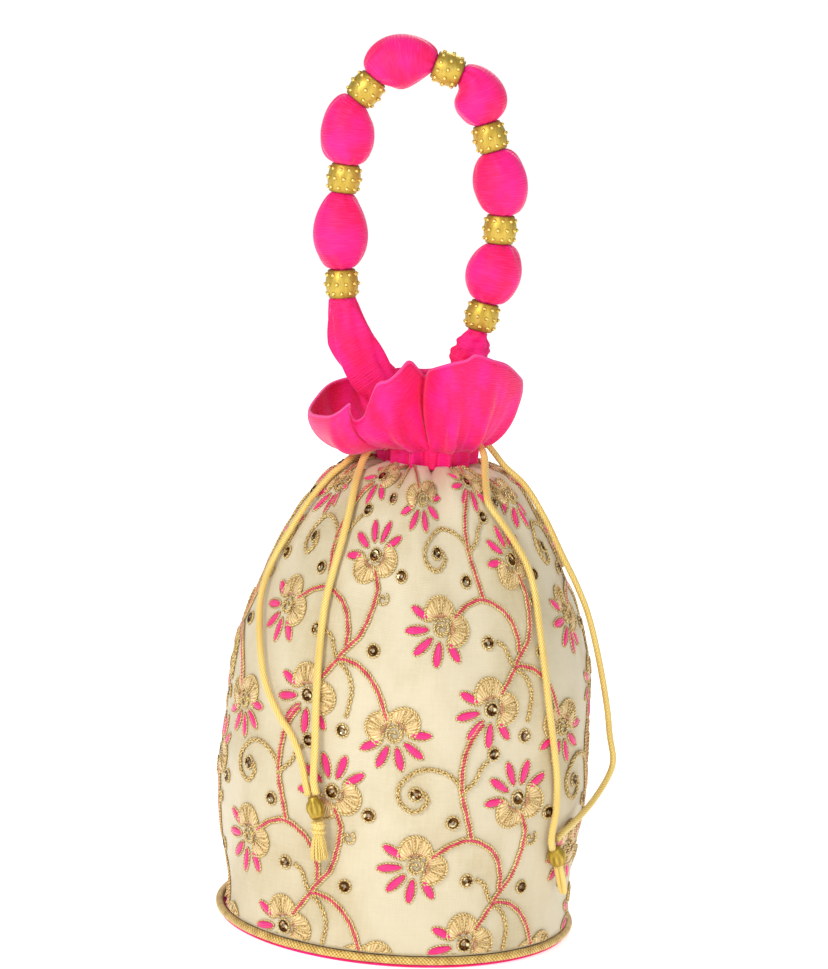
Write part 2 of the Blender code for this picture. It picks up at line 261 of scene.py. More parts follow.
def start_finish(name, fixed):
    """A new material, its fixed numbers, and a wire to begin its sums from."""
    material = bpy.data.materials.new(name)
    material.use_nodes = True
    shader = material.node_tree.nodes["Principled BSDF"]
    for socket, value in fixed.items():
        shader.inputs[socket].default_value = value
    return material, Wire(material.node_tree)


def end_finish(material, wired):
    shader = material.node_tree.nodes["Principled BSDF"]
    for socket, value in wired.items():
        material.node_tree.links.new(value.socket, shader.inputs[socket])
    return material


# %% [markdown]
# ## Gold satin for the drawstrings
# The cords are narrow tubes of gold satin sewn on the bias, so fine ridges run slantwise round them. A UV map
# that is counted in millimetres round and along the cord lets the ridges follow every bend.

# %% Gold satin
def gold_satin():
    material, wire = start_finish("gold_satin_cord", {"Sheen Weight": 0.25, "Metallic": 0.15})
    uv, across, along = across_and_along(wire, "cloth")
    ridges = (across * 0.9 + along * 0.75).wave()
    patches = cloudy(wire, stretched(wire, uv, (0.12, 0.03, 1)), 1.0)
    light = blend_colours(wire, ridges, linear(222, 182, 84), linear(250, 228, 140))
    colour = blend_colours(wire, patches.clip(0.35, 0.75) * 0.5, light, linear(216, 168, 64))
    shine = 0.3 + 0.18 * (1 - ridges) + 0.1 * patches
    normal = bumped(wire, ridges, 0.00012)
    return end_finish(material, {"Base Color": colour, "Roughness": shine, "Normal": normal})


GOLD_SATIN = gold_satin()

# %% [markdown]
# ## Lines and tubes
# Cords, stems and threads are all tubes along a line. A few listed points give the line its shape, a
# smooth curve runs through them, and the curve is cut into even steps. The tube is a flat grid rolled up
# round the line, so its faces run in neat rows and its UV map comes straight from the grid.

# %% Smooth lines
def smooth_line(points, step, closed=False):
    """Evenly spaced points on a smooth curve through a few given ones."""
    points = np.array(points, float)
    if closed:
        padded = np.vstack([points[-1:], points, points[:2]])
    else:
        padded = np.vstack([2 * points[0] - points[1], points, 2 * points[-1] - points[-2]])
    fine = []
    for before, start, end, after in zip(padded, padded[1:], padded[2:], padded[3:]):
        t = np.arange(12)[:, None] / 12
        fine.append(
            0.5 * (
                2 * start + (end - before) * t
                + (2 * before - 5 * start + 4 * end - after) * t**2
                + (3 * start - before - 3 * end + after) * t**3
            )
        )
    fine.append(points[:1] if closed else points[-1:])
    fine = np.vstack(fine)
    reach = np.concatenate([[0], np.cumsum(np.linalg.norm(np.diff(fine, axis=0), axis=1))])
    count = max(2, ceil(reach[-1] / step))
    marks = np.linspace(0, reach[-1], count + 1)
    return np.column_stack([np.interp(marks, reach, column) for column in fine.T])


def along_line(line):
    """How far along each point of a line is."""
    return np.concatenate([[0], np.cumsum(np.linalg.norm(np.diff(line, axis=0), axis=1))])


# %% Tubes rolled round a line
def unit(vectors):
    return vectors / np.linalg.norm(vectors, axis=-1, keepdims=True)


def side_directions(line, first=(0.0, 0.0, 1.0)):
    """Two directions across each point of a line, carried along it without twisting."""
    tangents = unit(np.gradient(line, axis=0))
    across = []
    side = np.cross(tangents[0], first)
    if np.linalg.norm(side) < 1e-3:
        side = np.cross(tangents[0], (1.0, 0.0, 0.0))
    for tangent in tangents:
        side = unit(side - tangent * (side @ tangent))
        across.append(side)
    across = np.array(across)
    return across, np.cross(across, tangents)


def tube(line, radius, sides=8, flat=1.0):
    """A closed tube along a line. flat is its thickness over its width; radius may be one for each point."""
    rings = len(line)
    bm = bmesh.new()
    bmesh.ops.create_grid(bm, x_segments=rings - 1, y_segments=sides, size=0.5)
    uv = bm.loops.layers.uv.new("cloth")
    radius = np.broadcast_to(radius, rings)
    across, up = side_directions(line)
    reach = along_line(line)
    girth = 2 * pi * radius.mean()
    for face in bm.faces:
        for loop in face.loops:
            ring = round((loop.vert.co.x + 0.5) * (rings - 1))
            loop[uv].uv = ((loop.vert.co.y + 0.5) * girth, reach[ring])
    for vert in bm.verts:
        ring = round((vert.co.x + 0.5) * (rings - 1))
        turn = 2 * pi * (vert.co.y + 0.5)
        place = line[ring] + radius[ring] * (cos(turn) * across[ring] + flat * sin(turn) * up[ring])
        vert.co = Vector(place)
    bmesh.ops.remove_doubles(bm, verts=bm.verts, dist=1e-4)
    bmesh.ops.holes_fill(bm, edges=[edge for edge in bm.edges if edge.is_boundary], sides=sides)
    bmesh.ops.recalc_face_normals(bm, faces=bm.faces)
    return bm


def finished(name, bm, material, body="bag", scale=MM, smooth=True):
    """A modelled piece put into the scene in metres, riding on a body of the frame."""
    bmesh.ops.scale(bm, vec=(scale, scale, scale), verts=bm.verts)
    mesh = bpy.data.meshes.new(name)
    bm.to_mesh(mesh)
    bm.free()
    if smooth:
        mesh.shade_smooth()
    for layer in material if isinstance(material, list) else [material]:
        mesh.materials.append(layer)
    piece = bpy.data.objects.new(name, mesh)
    bpy.context.collection.objects.link(piece)
    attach(piece, body)
    print(f"{name}: {len(mesh.polygons)} faces")
    return piece


# %% [markdown]
# ## The drawstrings
# Each side's drawstring comes out of the neck as two strands, runs down over the gathers, bows out from the
# cloth where it is free, and both strands end in one small bead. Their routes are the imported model's.

# %% The free strands
CORD_WIDTH = 3.0
STRANDS = {
    "left_drawstring_outer": [
        (-18.8, -3.7, 187.4), (-22.8, -4.4, 187.0), (-26.2, -7.8, 184.9), (-30.5, -12.5, 180.4),
        (-36.0, -15.5, 175.6), (-43.9, -17.8, 164.8), (-50.3, -19.3, 153.1), (-56.0, -20.0, 141.0),
        (-58.7, -26.0, 130.8), (-58.7, -32.6, 121.9), (-57.0, -41.0, 110.1), (-54.0, -47.2, 99.8),
        (-48.2, -53.8, 90.1), (-42.4, -59.0, 83.2), (-38.3, -62.8, 74.5), (-36.2, -65.4, 67.2),
        (-34.9, -66.3, 63.0),
    ],
    "left_drawstring_inner": [
        (-16.8, -9.3, 187.4), (-20.3, -11.2, 187.0), (-22.9, -15.3, 184.8), (-24.6, -21.5, 180.4),
        (-26.0, -29.5, 175.4), (-27.0, -36.2, 168.0), (-29.2, -43.4, 156.3), (-32.0, -48.8, 143.5),
        (-33.9, -53.8, 132.1), (-34.6, -59.5, 115.7), (-34.5, -62.9, 99.3), (-33.8, -64.7, 82.9),
        (-33.5, -66.5, 72.0), (-33.2, -67.2, 68.2), (-32.1, -67.7, 64.2),
    ],
    "right_drawstring_outer": [
        (18.8, -3.7, 190.9), (22.8, -4.4, 190.4), (26.3, -5.0, 187.0), (30.5, -5.6, 182.4),
        (38.9, -6.2, 175.4), (47.2, -8.5, 163.8), (54.4, -11.5, 151.2), (61.2, -12.0, 139.3),
        (66.8, -11.5, 127.2), (72.2, -10.8, 109.8), (76.5, -10.5, 92.3), (78.4, -11.2, 81.3),
        (80.4, -12.6, 71.8), (78.6, -15.6, 65.4), (73.2, -22.9, 57.6), (66.8, -32.6, 52.0),
        (62.2, -39.4, 49.2), (59.6, -43.0, 46.5),
    ],
    "right_drawstring_inner": [
        (16.8, -9.3, 190.9), (20.3, -11.2, 190.5), (22.2, -16.3, 187.0), (22.8, -23.5, 181.4),
        (23.6, -29.5, 176.8), (24.8, -34.4, 172.3), (29.6, -35.6, 166.5), (35.5, -36.4, 158.8),
        (40.8, -37.7, 150.5), (44.3, -40.0, 141.0), (47.0, -45.2, 128.5), (50.2, -48.6, 112.4),
        (52.7, -49.0, 98.8), (55.5, -47.0, 84.9), (57.8, -45.4, 71.4), (58.4, -45.8, 59.0),
        (57.4, -46.7, 48.5), (58.2, -45.3, 43.6),
    ],
}
for name, route in STRANDS.items():
    line = smooth_line(route, 1.5)
    strand = finished(name + "_satin", tube(line, CORD_WIDTH / 2, 12, 0.82), GOLD_SATIN)
    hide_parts(name)

# %% [markdown]
# ## The cloth's own map
# The pouch is one wide tube of cloth, gathered to a quarter of its width at the neck. To drape the cloth and
# to lay embroidery on it, one function turns a place on the flat cloth into a place in the room. Its inputs
# are the turn round the bag from the middle of the front, the distance up the cloth, and the lift above it.

# %% The side of the bag
SIDE = [
    (68.3, 4.7), (68.6, 16.0), (69.2, 33.0), (70.3, 47.0), (71.0, 62.0), (70.1, 80.0), (69.7, 93.0),
    (68.6, 107.0), (66.0, 118.0), (62.4, 129.5), (57.8, 139.5), (53.0, 150.5), (46.0, 162.5),
    (38.0, 173.5), (28.5, 180.5), (19.0, 184.5),
]
side_line = smooth_line(SIDE, 1.0)
side_reach = along_line(side_line)
CLOTH_HEIGHT = side_reach[-1]
BODY_RADIUS = 70.0  # the radius that the flat cloth's millimetres are counted on

# Each gather at the neck: (turn in degrees, depth at the neck, width there, how far down it fades).
GATHERS = [
    (-176, 4.6, 3.4, 28), (-151, 4.2, 3.0, 22), (-127, 5.0, 3.4, 32), (-104, 4.2, 3.0, 24),
    (-82, 4.4, 3.2, 34), (-58, 5.2, 3.2, 30), (-38, 2.2, 2.4, 18), (-19, 4.4, 2.8, 17),
    (9, 8.0, 3.0, 24), (31, 2.0, 2.4, 14), (52, 5.0, 3.0, 30), (70, 3.6, 2.8, 22),
    (89, 4.8, 3.2, 32), (112, 4.2, 3.0, 22), (136, 5.0, 3.4, 30), (160, 4.2, 3.2, 24),
]
# Soft dents and swellings: (turn in degrees, height up the cloth, width, height, depth; negative swells).
DENTS = [
    (-88, 9, 16, 12, 4.6), (-78, 44, 15, 16, -1.2), (92, 12, 14, 14, 2.2), (-30, 60, 16, 40, 1.4),
    (34, 84, 13, 46, 1.6), (8, 120, 8, 30, -0.9), (-14, 134, 6, 26, 1.1), (20, 138, 7, 28, 1.2),
    (58, 60, 14, 34, -1.3), (-58, 104, 14, 30, 1.3), (0, 26, 30, 12, 1.0), (74, 130, 12, 26, 1.4),
    (-96, 120, 16, 28, 1.2), (130, 80, 26, 40, 1.6), (-140, 60, 26, 40, -1.4), (176, 110, 22, 36, 1.5),
    (48, 22, 18, 14, 0.9), (-46, 22, 14, 16, -0.8),
]


# %% From flat cloth to the room
def turn_apart(turn, middle):
    """The shortest way round from one turn to another, in radians."""
    return (turn - radians(middle) + pi) % (2 * pi) - pi


def gather_depth(turn, up):
    """How deep the cloth is drawn in at each place by the gathers, and how much it stands proud between."""
    below = np.maximum(CLOTH_HEIGHT - up, 0.0)
    radius = np.interp(up, side_reach, side_line[:, 0])
    depth = np.zeros_like(radius)
    for middle, deep, wide, fade in GATHERS:
        width = wide * (0.62 + 0.9 * below / fade)
        apart = turn_apart(turn, middle) * radius / width
        depth += 1.25 * deep * np.exp(-((below / (1.3 * fade)) ** 1.5)) * np.exp(-np.abs(apart) ** 1.6)
    return depth


def cloth_point(turn, up):
    """A place on the draped cloth, in millimetres."""
    radius = np.interp(up, side_reach, side_line[:, 0])
    height = np.interp(up, side_reach, side_line[:, 1])
    below = np.maximum(CLOTH_HEIGHT - up, 0.0)
    depth = gather_depth(turn, up)
    radius = radius - depth + 2.6 * np.exp(-((below / 20) ** 2)) - 1.2 * np.exp(-((below / 2.5) ** 2))
    height = height - 0.25 * depth * np.exp(-((below / 12) ** 2)) - 1.6 * np.exp(-((below / 12) ** 2))
    for middle, at, wide, high, deep in DENTS:
        apart = turn_apart(turn, middle) / radians(wide)
        radius = radius - deep * np.exp(-(apart**2) - ((up - at) / high) ** 2)
    ripple = 0.25 * np.sin(turn * 23 + up * 0.11) * np.sin(up * 0.07 + turn * 5)
    radius = radius + ripple * np.exp(-((below / 160) ** 2))
    return radius, height


def cloth_place(turn, up, lift=0.0):
    """A place on the draped cloth, raised by lift along the cloth's own outward direction."""
    def flat_place(turn, up):
        radius, height = cloth_point(turn, up)
        return np.stack([radius * np.sin(turn), -radius * np.cos(turn), height], axis=-1)

    here = flat_place(turn, up)
    if np.all(lift == 0):
        return here
    round_bag = flat_place(turn + 0.004, up) - flat_place(turn - 0.004, up)
    up_bag = flat_place(turn, up + 0.4) - flat_place(turn, up - 0.4)
    outward = unit(np.cross(round_bag, up_bag))
    return here + outward * np.asarray(lift)[..., None]


print(f"the cloth is {CLOTH_HEIGHT:.0f} mm high and {2 * pi * BODY_RADIUS:.0f} mm round")

# %% [markdown]
# ## Cream satin
# The ground cloth is a heavy cream satin. Its threads are finer than a millimetre, so a close look shows a
# faint grid and a far look shows only a soft sheen. Real satin is never one colour: it has warm, slightly
# dull clouds where it was handled, and tiny thicker threads run across it.

# %% Cream satin
def cream_satin():
    material, wire = start_finish(
        "cream_satin_cloth", {"Sheen Weight": 0.35, "Sheen Roughness": 0.4, "Specular IOR Level": 0.35},
    )
    uv, across, along = across_and_along(wire, "cloth")
    threads = (across * 1.7).wave() * 0.5 + (along * 1.7).wave() * 0.5
    slubs = cloudy(wire, stretched(wire, uv, (0.9, 0.12, 1)), 1.0, 3.0)
    slubs_along = cloudy(wire, stretched(wire, uv, (0.1, 1.1, 1)), 1.0, 3.0)
    clouds = cloudy(wire, stretched(wire, uv, (0.03, 0.022, 1)), 1.0, 4.0)
    ground = blend_colours(wire, clouds.clip(0.4, 0.68), linear(214, 202, 172), linear(198, 182, 144))
    fine = (slubs + slubs_along) * 0.5
    colour = blend_colours(wire, fine.clip(0.4, 0.64) * 0.2, ground, linear(226, 216, 188))
    colour = blend_colours(wire, threads * 0.1, colour, linear(190, 172, 134))
    shine = 0.46 + 0.16 * fine
    normal = bumped(wire, threads * 0.5 + fine * 0.5, 0.00012)
    return end_finish(material, {"Base Color": colour, "Roughness": shine, "Normal": normal})


CREAM_SATIN = cream_satin()

# %% [markdown]
# ## The draped outer cloth
# A line of points up the side of the bag is spun once round, which gives an even net of faces. Each point
# of the net is then moved to its place on the draped cloth. A wall is added inwards.

# %% A net of cloth
def cloth_net(inset, low, high, columns, rows):
    """The gathered cloth between two heights up it, moved inwards by inset, as an open net."""
    bm = bmesh.new()
    marks = np.linspace(low, high, rows + 1)
    points = [bm.verts.new((BODY_RADIUS, 0, mark)) for mark in marks]
    edges = [bm.edges.new(pair) for pair in zip(points, points[1:])]
    bmesh.ops.spin(
        bm, geom=points + edges, cent=(0, 0, 0), axis=(0, 0, 1), dvec=(0, 0, 0),
        angle=2 * pi, steps=columns, use_merge=True, use_duplicate=False,
    )
    bmesh.ops.remove_doubles(bm, verts=bm.verts, dist=1e-4)
    uv = bm.loops.layers.uv.new("cloth")
    for face in bm.faces:
        centre = face.calc_center_median()
        middle = np.arctan2(centre.x, -centre.y)
        for loop in face.loops:
            turn = np.arctan2(loop.vert.co.x, -loop.vert.co.y)
            turn = middle + (turn - middle + pi) % (2 * pi) - pi
            loop[uv].uv = (turn * BODY_RADIUS, loop.vert.co.z)
    spots = np.array([vert.co for vert in bm.verts])
    places = cloth_place(np.arctan2(spots[:, 0], -spots[:, 1]), spots[:, 2], -inset)
    for vert, place in zip(bm.verts, places):
        vert.co = place
    bmesh.ops.recalc_face_normals(bm, faces=bm.faces)
    centre = bm.faces[0].calc_center_median()
    if bm.faces[0].normal.dot(Vector((centre.x, centre.y, 0))) < 0:
        bmesh.ops.reverse_faces(bm, faces=bm.faces)
    return bm


def add_wall(piece, thickness):
    wall = piece.modifiers.new("wall", "SOLIDIFY")
    wall.thickness = thickness * MM
    wall.offset = -1.0


# %% The outer cloth
outer_cloth = finished(
    "outer_cloth", cloth_net(0.0, 0.0, CLOTH_HEIGHT, 300, 110), CREAM_SATIN,
)
add_wall(outer_cloth, 0.9)
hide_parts("outer_shell")

# %% [markdown]
# ## Pink silk
# The frill and the handle are one bright pink dupion silk. Its cross threads are thicker than the others, so
# it shows fine ribs, and light that bounces between folds turns it redder. A little sheen makes the edges
# glow as thin silk does. A second UV map on the frill counts from its rim, for the pale line of the hem.

# %% Pink silk
def pink_silk(name, hem):
    material, wire = start_finish(
        name, {"Sheen Weight": 0.3, "Sheen Roughness": 0.35, "Specular IOR Level": 0.3},
    )
    uv, across, along = across_and_along(wire, "cloth")
    ribs = (along * 1.15 + cloudy(wire, stretched(wire, uv, (0.08, 0.5, 1)), 1.0) * 1.6).wave()
    slubs = cloudy(wire, stretched(wire, uv, (0.16, 1.9, 1)), 1.0, 3.0)
    clouds = cloudy(wire, stretched(wire, uv, (0.07, 0.07, 1)), 1.0)
    colour = blend_colours(wire, clouds.clip(0.38, 0.66), linear(247, 10, 98), linear(250, 18, 134))
    colour = blend_colours(wire, slubs.clip(0.45, 0.7) * 0.35, colour, linear(255, 60, 160))
    colour = blend_colours(wire, (1 - ribs) * 0.22, colour, linear(206, 0, 66))
    if hem:
        _, _, from_rim = across_and_along(wire, "rim")
        edge = 1 - from_rim.clip(0.7, 1.3)
        colour = blend_colours(wire, edge * 0.55, colour, linear(255, 92, 176))
        stitch_row = from_rim.clip(1.6, 1.9) * (1 - from_rim.clip(2.0, 2.4))
        colour = blend_colours(wire, stitch_row * 0.4, colour, linear(190, 0, 70))
    shine = 0.52 + 0.14 * slubs
    normal = bumped(wire, ribs * 0.5 + slubs, 0.00016)
    return end_finish(material, {"Base Color": colour, "Roughness": shine, "Normal": normal})


PINK_SILK = pink_silk("pink_silk_cloth", False)
FRILL_SILK = pink_silk("pink_silk_frill", True)

# %% [markdown]
# ## The frill
# Above the drawstring channel the silk is left long and doubled, so it falls open in loose lobes. Its rim is
# the part that the eye follows, so the rim is given as a closed line with its folds, and each point
# of it is tied to a place round the neck. From the neck to the rim the cloth swings out on a smooth curve.

# %% The frill's rim
# Round the rim from the left: (turn at the neck in degrees, x, y, z, rise of the cloth as it leaves the neck).
FRILL_RIM = [
    (-84, -46, -5, 198.5, -13), (-72, -38.5, -24, 200, -13), (-62, -34, -31, 203, -9),
    (-53, -30, -35, 207, -4), (-46, -29.5, -31.5, 203.5, 0), (-41, -28, -29.5, 200.5, 0),
    (-37, -26, -30, 200.5, 0), (-33, -24, -32, 203, 0), (-28, -22.5, -34.5, 209, 1),
    (-22, -20, -34, 215, 1), (-15, -16, -33, 216.5, 1), (-9, -12, -31, 220, 1),
    (-3, -8.5, -27, 223.5, 2), (1, -5, -21.5, 220, 4), (5, -2.5, -17, 217, 5), (9, -1, -22, 220, 3),
    (15, 3, -28, 222.5, 1), (24, 7.5, -31, 224.5, 1), (33, 12.5, -31.5, 226, 1), (42, 16.5, -30, 228, 1),
    (54, 22.5, -26, 226, 2), (67, 28.5, -19, 223.5, 2), (84, 34.5, -7, 217, 3), (101, 34.5, 6, 214, 3),
    (116, 30, 15, 216, 3), (128, 26, 23, 218, 2), (141, 20, 26, 214, 2), (153, 12, 33, 213, 1),
    (164, 5, 31, 214, 2), (176, -3, 35, 212.5, 1), (188, -11, 31, 213, 2), (200, -17, 36, 211, 1),
    (213, -26, 33, 209, 0), (228, -31.5, 28, 208.5, -1), (244, -39, 20, 206.5, -3), (260, -43.5, 8, 203, -11),
]
NECK_RADIUS = 18.2
NECK_BAND = (180.5, 187.6)


def frill_net(columns):
    """The rim and neck as numbers for each column of cloth: turn, rim place, rise."""
    before = (FRILL_RIM[-1][0] - 360, *FRILL_RIM[-1][1:])
    after = [(row[0] + 360, *row[1:]) for row in FRILL_RIM[:2]]
    line = smooth_line([before] + FRILL_RIM + after, 0.2)
    turns = np.radians(line[:, 0])
    first = radians(FRILL_RIM[0][0])
    marks = np.linspace(first, first + 2 * pi, columns + 1)
    return [marks] + [np.interp(marks, turns, line[:, k]) for k in (1, 2, 3, 4)]


def neck_gather(turn, height):
    """The neck's radius, drawn into soft upright folds."""
    folds = 1.6 * np.sin(15 * turn + 0.7 * np.sin(3 * turn)) + 0.7 * np.sin(26 * turn + 2.0)
    valley = np.exp(-((turn_apart(turn, 5) / radians(9)) ** 2))
    return NECK_RADIUS + folds - 3.0 * valley + 0.04 * (height - 187)


def frill_bmesh(columns=420, band_rows=8, swing_rows=34):
    turn, rim_x, rim_y, rim_z, rise = frill_net(columns)
    out = np.stack([np.sin(turn), -np.cos(turn), 0 * turn], axis=-1)
    rim = np.stack([rim_x, rim_y, rim_z], axis=-1)
    rings = []
    for height in np.linspace(*NECK_BAND, band_rows, endpoint=False):
        ring = out * neck_gather(turn, height)[:, None]
        ring[:, 2] = height
        rings.append(ring)
    start = out * neck_gather(turn, NECK_BAND[1])[:, None]
    start[:, 2] = NECK_BAND[1]
    swing = rim - start
    away = np.linalg.norm(swing[:, :2], axis=1)
    sideways = unit(np.stack([swing[:, 0], swing[:, 1], 0 * turn], axis=-1) + out * 1e-3)
    first = start + (0.5 * sideways + 0.12 * out) * away[:, None]
    first[:, 2] += 2.0 + rise
    second = rim + sideways * 2.2
    second[:, 2] -= 0.42 * np.maximum(swing[:, 2], 12.0) - 0.1 * rise
    folds = 2.0 * np.sin(15 * turn + 0.7 * np.sin(3 * turn)) + 0.9 * np.sin(26 * turn + 2.0)
    creases = 0.22 * np.sin(41 * turn + 1.3 * np.sin(5 * turn)) + 0.12 * np.sin(63 * turn)
    for t in np.linspace(0, 1, swing_rows + 1):
        ring = (
            (1 - t) ** 3 * start + 3 * (1 - t) ** 2 * t * first
            + 3 * (1 - t) * t**2 * second + t**3 * rim
        )
        circuit = np.concatenate([ring[-2:-1], ring, ring[1:2]])
        tangent = unit(circuit[2:] - circuit[:-2])
        ring = ring + np.cross(tangent, (0, 0, 1.0)) * (
            folds * (1 - t) ** 2.2 * t * 3 + creases * (1 - t) ** 1.2 * min(4 * t, 1)
        )[:, None]
        rings.append(ring)
    return turn, np.array(rings)


def silk_net(turn, rings):
    """A closed belt of cloth from its rings, with UV maps that count from the neck and from the rim."""
    rows, columns = len(rings), len(turn) - 1
    bm = bmesh.new()
    bmesh.ops.create_grid(bm, x_segments=columns, y_segments=rows - 1, size=0.5)
    cloth = bm.loops.layers.uv.new("cloth")
    rim = bm.loops.layers.uv.new("rim")
    steps = np.linalg.norm(np.diff(rings, axis=0), axis=2)
    up = np.concatenate([np.zeros((1, columns + 1)), np.cumsum(steps, axis=0)])
    places = {}
    for vert in bm.verts:
        places[vert] = (round((vert.co.y + 0.5) * (rows - 1)), round((vert.co.x + 0.5) * columns))
    for face in bm.faces:
        for loop in face.loops:
            row, column = places[loop.vert]
            loop[cloth].uv = (turn[column] * 62, up[row, column])
            loop[rim].uv = (turn[column] * 62, up[-1, column] - up[row, column])
    for vert, (row, column) in places.items():
        vert.co = rings[row, column]
    bmesh.ops.remove_doubles(bm, verts=bm.verts, dist=1e-3)
    bmesh.ops.recalc_face_normals(bm, faces=bm.faces)
    return bm


turn, frill_rings = frill_bmesh()
frill = finished("silk_frill", silk_net(turn, frill_rings), FRILL_SILK)
add_wall(frill, 0.9)
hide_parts("frill_collar")


# %% The gathered mouth inside the frill
def mouth_bmesh(columns=240):
    turn = np.linspace(0, 2 * pi, columns + 1)
    out = np.stack([np.sin(turn), -np.cos(turn), 0 * turn], axis=-1)
    rings = []
    for radius, height in [(16.6, 196.0), (13, 194.6), (9.5, 192.6), (6.5, 189), (4.6, 184), (3.6, 178)]:
        fold = 0.09 * radius * np.sin(16 * turn + np.sin(2 * turn)) + 0.05 * radius * np.sin(27 * turn)
        ring = out * (radius + fold)[:, None]
        ring[:, 2] = height + 0.8 * np.sin(16 * turn + 1.2)
        rings.append(ring)
    return turn, np.array(rings)


turn, rings = mouth_bmesh()
mouth = finished("neck_gathers", silk_net(turn, rings), PINK_SILK)
add_wall(mouth, 0.6)

# %% [markdown]
# ## The handle
# A silk tube is stuffed with wadding and strung with seven beads, which pinch it into puffs. The frame's
# hinges say where each bead sits and which way it points, so the handle's middle line runs straight through
# every bead and bends smoothly between them. The tube is turned as a straight piece and then bent along it.

# %% The handle's middle line
BEAD_LENGTH = 10.8
HANDLE_START = ((-15.0, 0, 204.5), -44.0)
HANDLE_END = ((11.5, 0, 206.0), 183.0)


def heading(tilt):
    return np.array([sin(radians(tilt)), 0, cos(radians(tilt))])


bead_places = [
    (joint["child"], np.array(joint["pos_m"]) / MM, np.array(joint["axis"])) for joint in frame["joints"]
]


def handle_line():
    half = BEAD_LENGTH / 2 + 0.8
    stops = [(np.array(HANDLE_START[0]), heading(HANDLE_START[1]))]
    for _, centre, axis in bead_places:
        stops += [(centre - half * axis, axis), (centre + half * axis, axis)]
    stops.append((np.array(HANDLE_END[0]), heading(HANDLE_END[1])))
    points = [stops[0][0]]
    for (start, leave), (end, arrive) in zip(stops, stops[1:]):
        chord = np.linalg.norm(end - start)
        for t in np.linspace(0, 1, 25)[1:]:
            points.append(
                (2 * t**3 - 3 * t**2 + 1) * start + (t**3 - 2 * t**2 + t) * chord * leave
                + (3 * t**2 - 2 * t**3) * end + (t**3 - t**2) * chord * arrive
            )
    return np.array(points)


handle_middle = handle_line()
handle_reach = along_line(handle_middle)
bead_marks = [
    handle_reach[np.argmin(np.linalg.norm(handle_middle - centre, axis=1))]
    for _, centre, _ in bead_places
]
print(f"the handle is {handle_reach[-1]:.0f} mm long, with beads at", [round(mark) for mark in bead_marks])

# %% Puffs and straps
# Each puff: (radius, where it is fattest from 0 to 1, how square its shoulders are).
PUFFS = [(10.5, 0.46, 0.66), (10.3, 0.42, 0.5), (10.5, 0.42, 0.62), (10.1, 0.58, 0.6), (10.5, 0.52, 0.46),
         (10.6, 0.5, 0.5)]
PINCHED = 3.7


def handle_width(mark, turn):
    """The silk tube's half width and half thickness at a distance along it."""
    clear = BEAD_LENGTH / 2 + 0.2
    width = thick = PINCHED
    if mark < bead_marks[0] - clear:
        below = bead_marks[0] - clear - mark
        swell = min(below / 15, 1.0)
        sewn = min(mark / 9, 1.0)
        width = PINCHED + 1.0 + (3.6 * swell) * (0.6 + 0.4 * sewn)
        thick = PINCHED - 0.6 * swell
    elif mark > bead_marks[-1] + clear:
        below = mark - bead_marks[-1] - clear
        swell = min(below / 9, 1.0)
        width = PINCHED + 3.4 * swell - 0.8 * min(max(below - 14, 0) / 14, 1.0)
        thick = PINCHED + 0.3 * swell
    else:
        for (start, end), (radius, fattest, square) in zip(zip(bead_marks, bead_marks[1:]), PUFFS):
            if start <= mark <= end:
                share = (mark - start - clear) / (end - start - 2 * clear)
                share = min(max(share, 0.0), 1.0) ** (np.log(0.5) / np.log(fattest))
                width = PINCHED + (radius - PINCHED) * max(sin(pi * share), 0) ** square
                thick = width
    return width, thick


def crease(mark, turn, puff_radius):
    """Pleats that run out of the beads and fade over the puffs, and the long folds of the flat straps."""
    nearest = min(abs(mark - bead) for bead in bead_marks) - BEAD_LENGTH / 2
    fade = np.exp(-max(nearest, 0) / 3.6)
    sway = 0.9 * sin(mark * 0.31)
    folds = np.sin(7 * turn + sway) * 0.55 + np.sin(11 * turn + 2.1 * sway + mark * 0.12) * 0.45
    soft = 0.012 * np.sin(3 * turn + mark * 0.13) + 0.016 * np.sin(2 * turn - mark * 0.09)
    inside = nearest <= 0
    strap = 0.0
    if mark < bead_marks[0] - 6 or mark > bead_marks[-1] + 6:
        strap = 0.07 * np.sin(5 * turn + 0.16 * mark) + 0.06 * np.sin(8 * turn - 0.21 * mark + 1.0)
        if mark > bead_marks[-1] + 6:
            strap = strap + 0.09 * np.sin(mark * 0.9 + 2 * turn) + 0.05 * np.sin(mark * 1.7 - 3 * turn)
    return 1 + (0 if inside else 1) * (0.13 * fade * (folds - 0.4) + soft) + strap


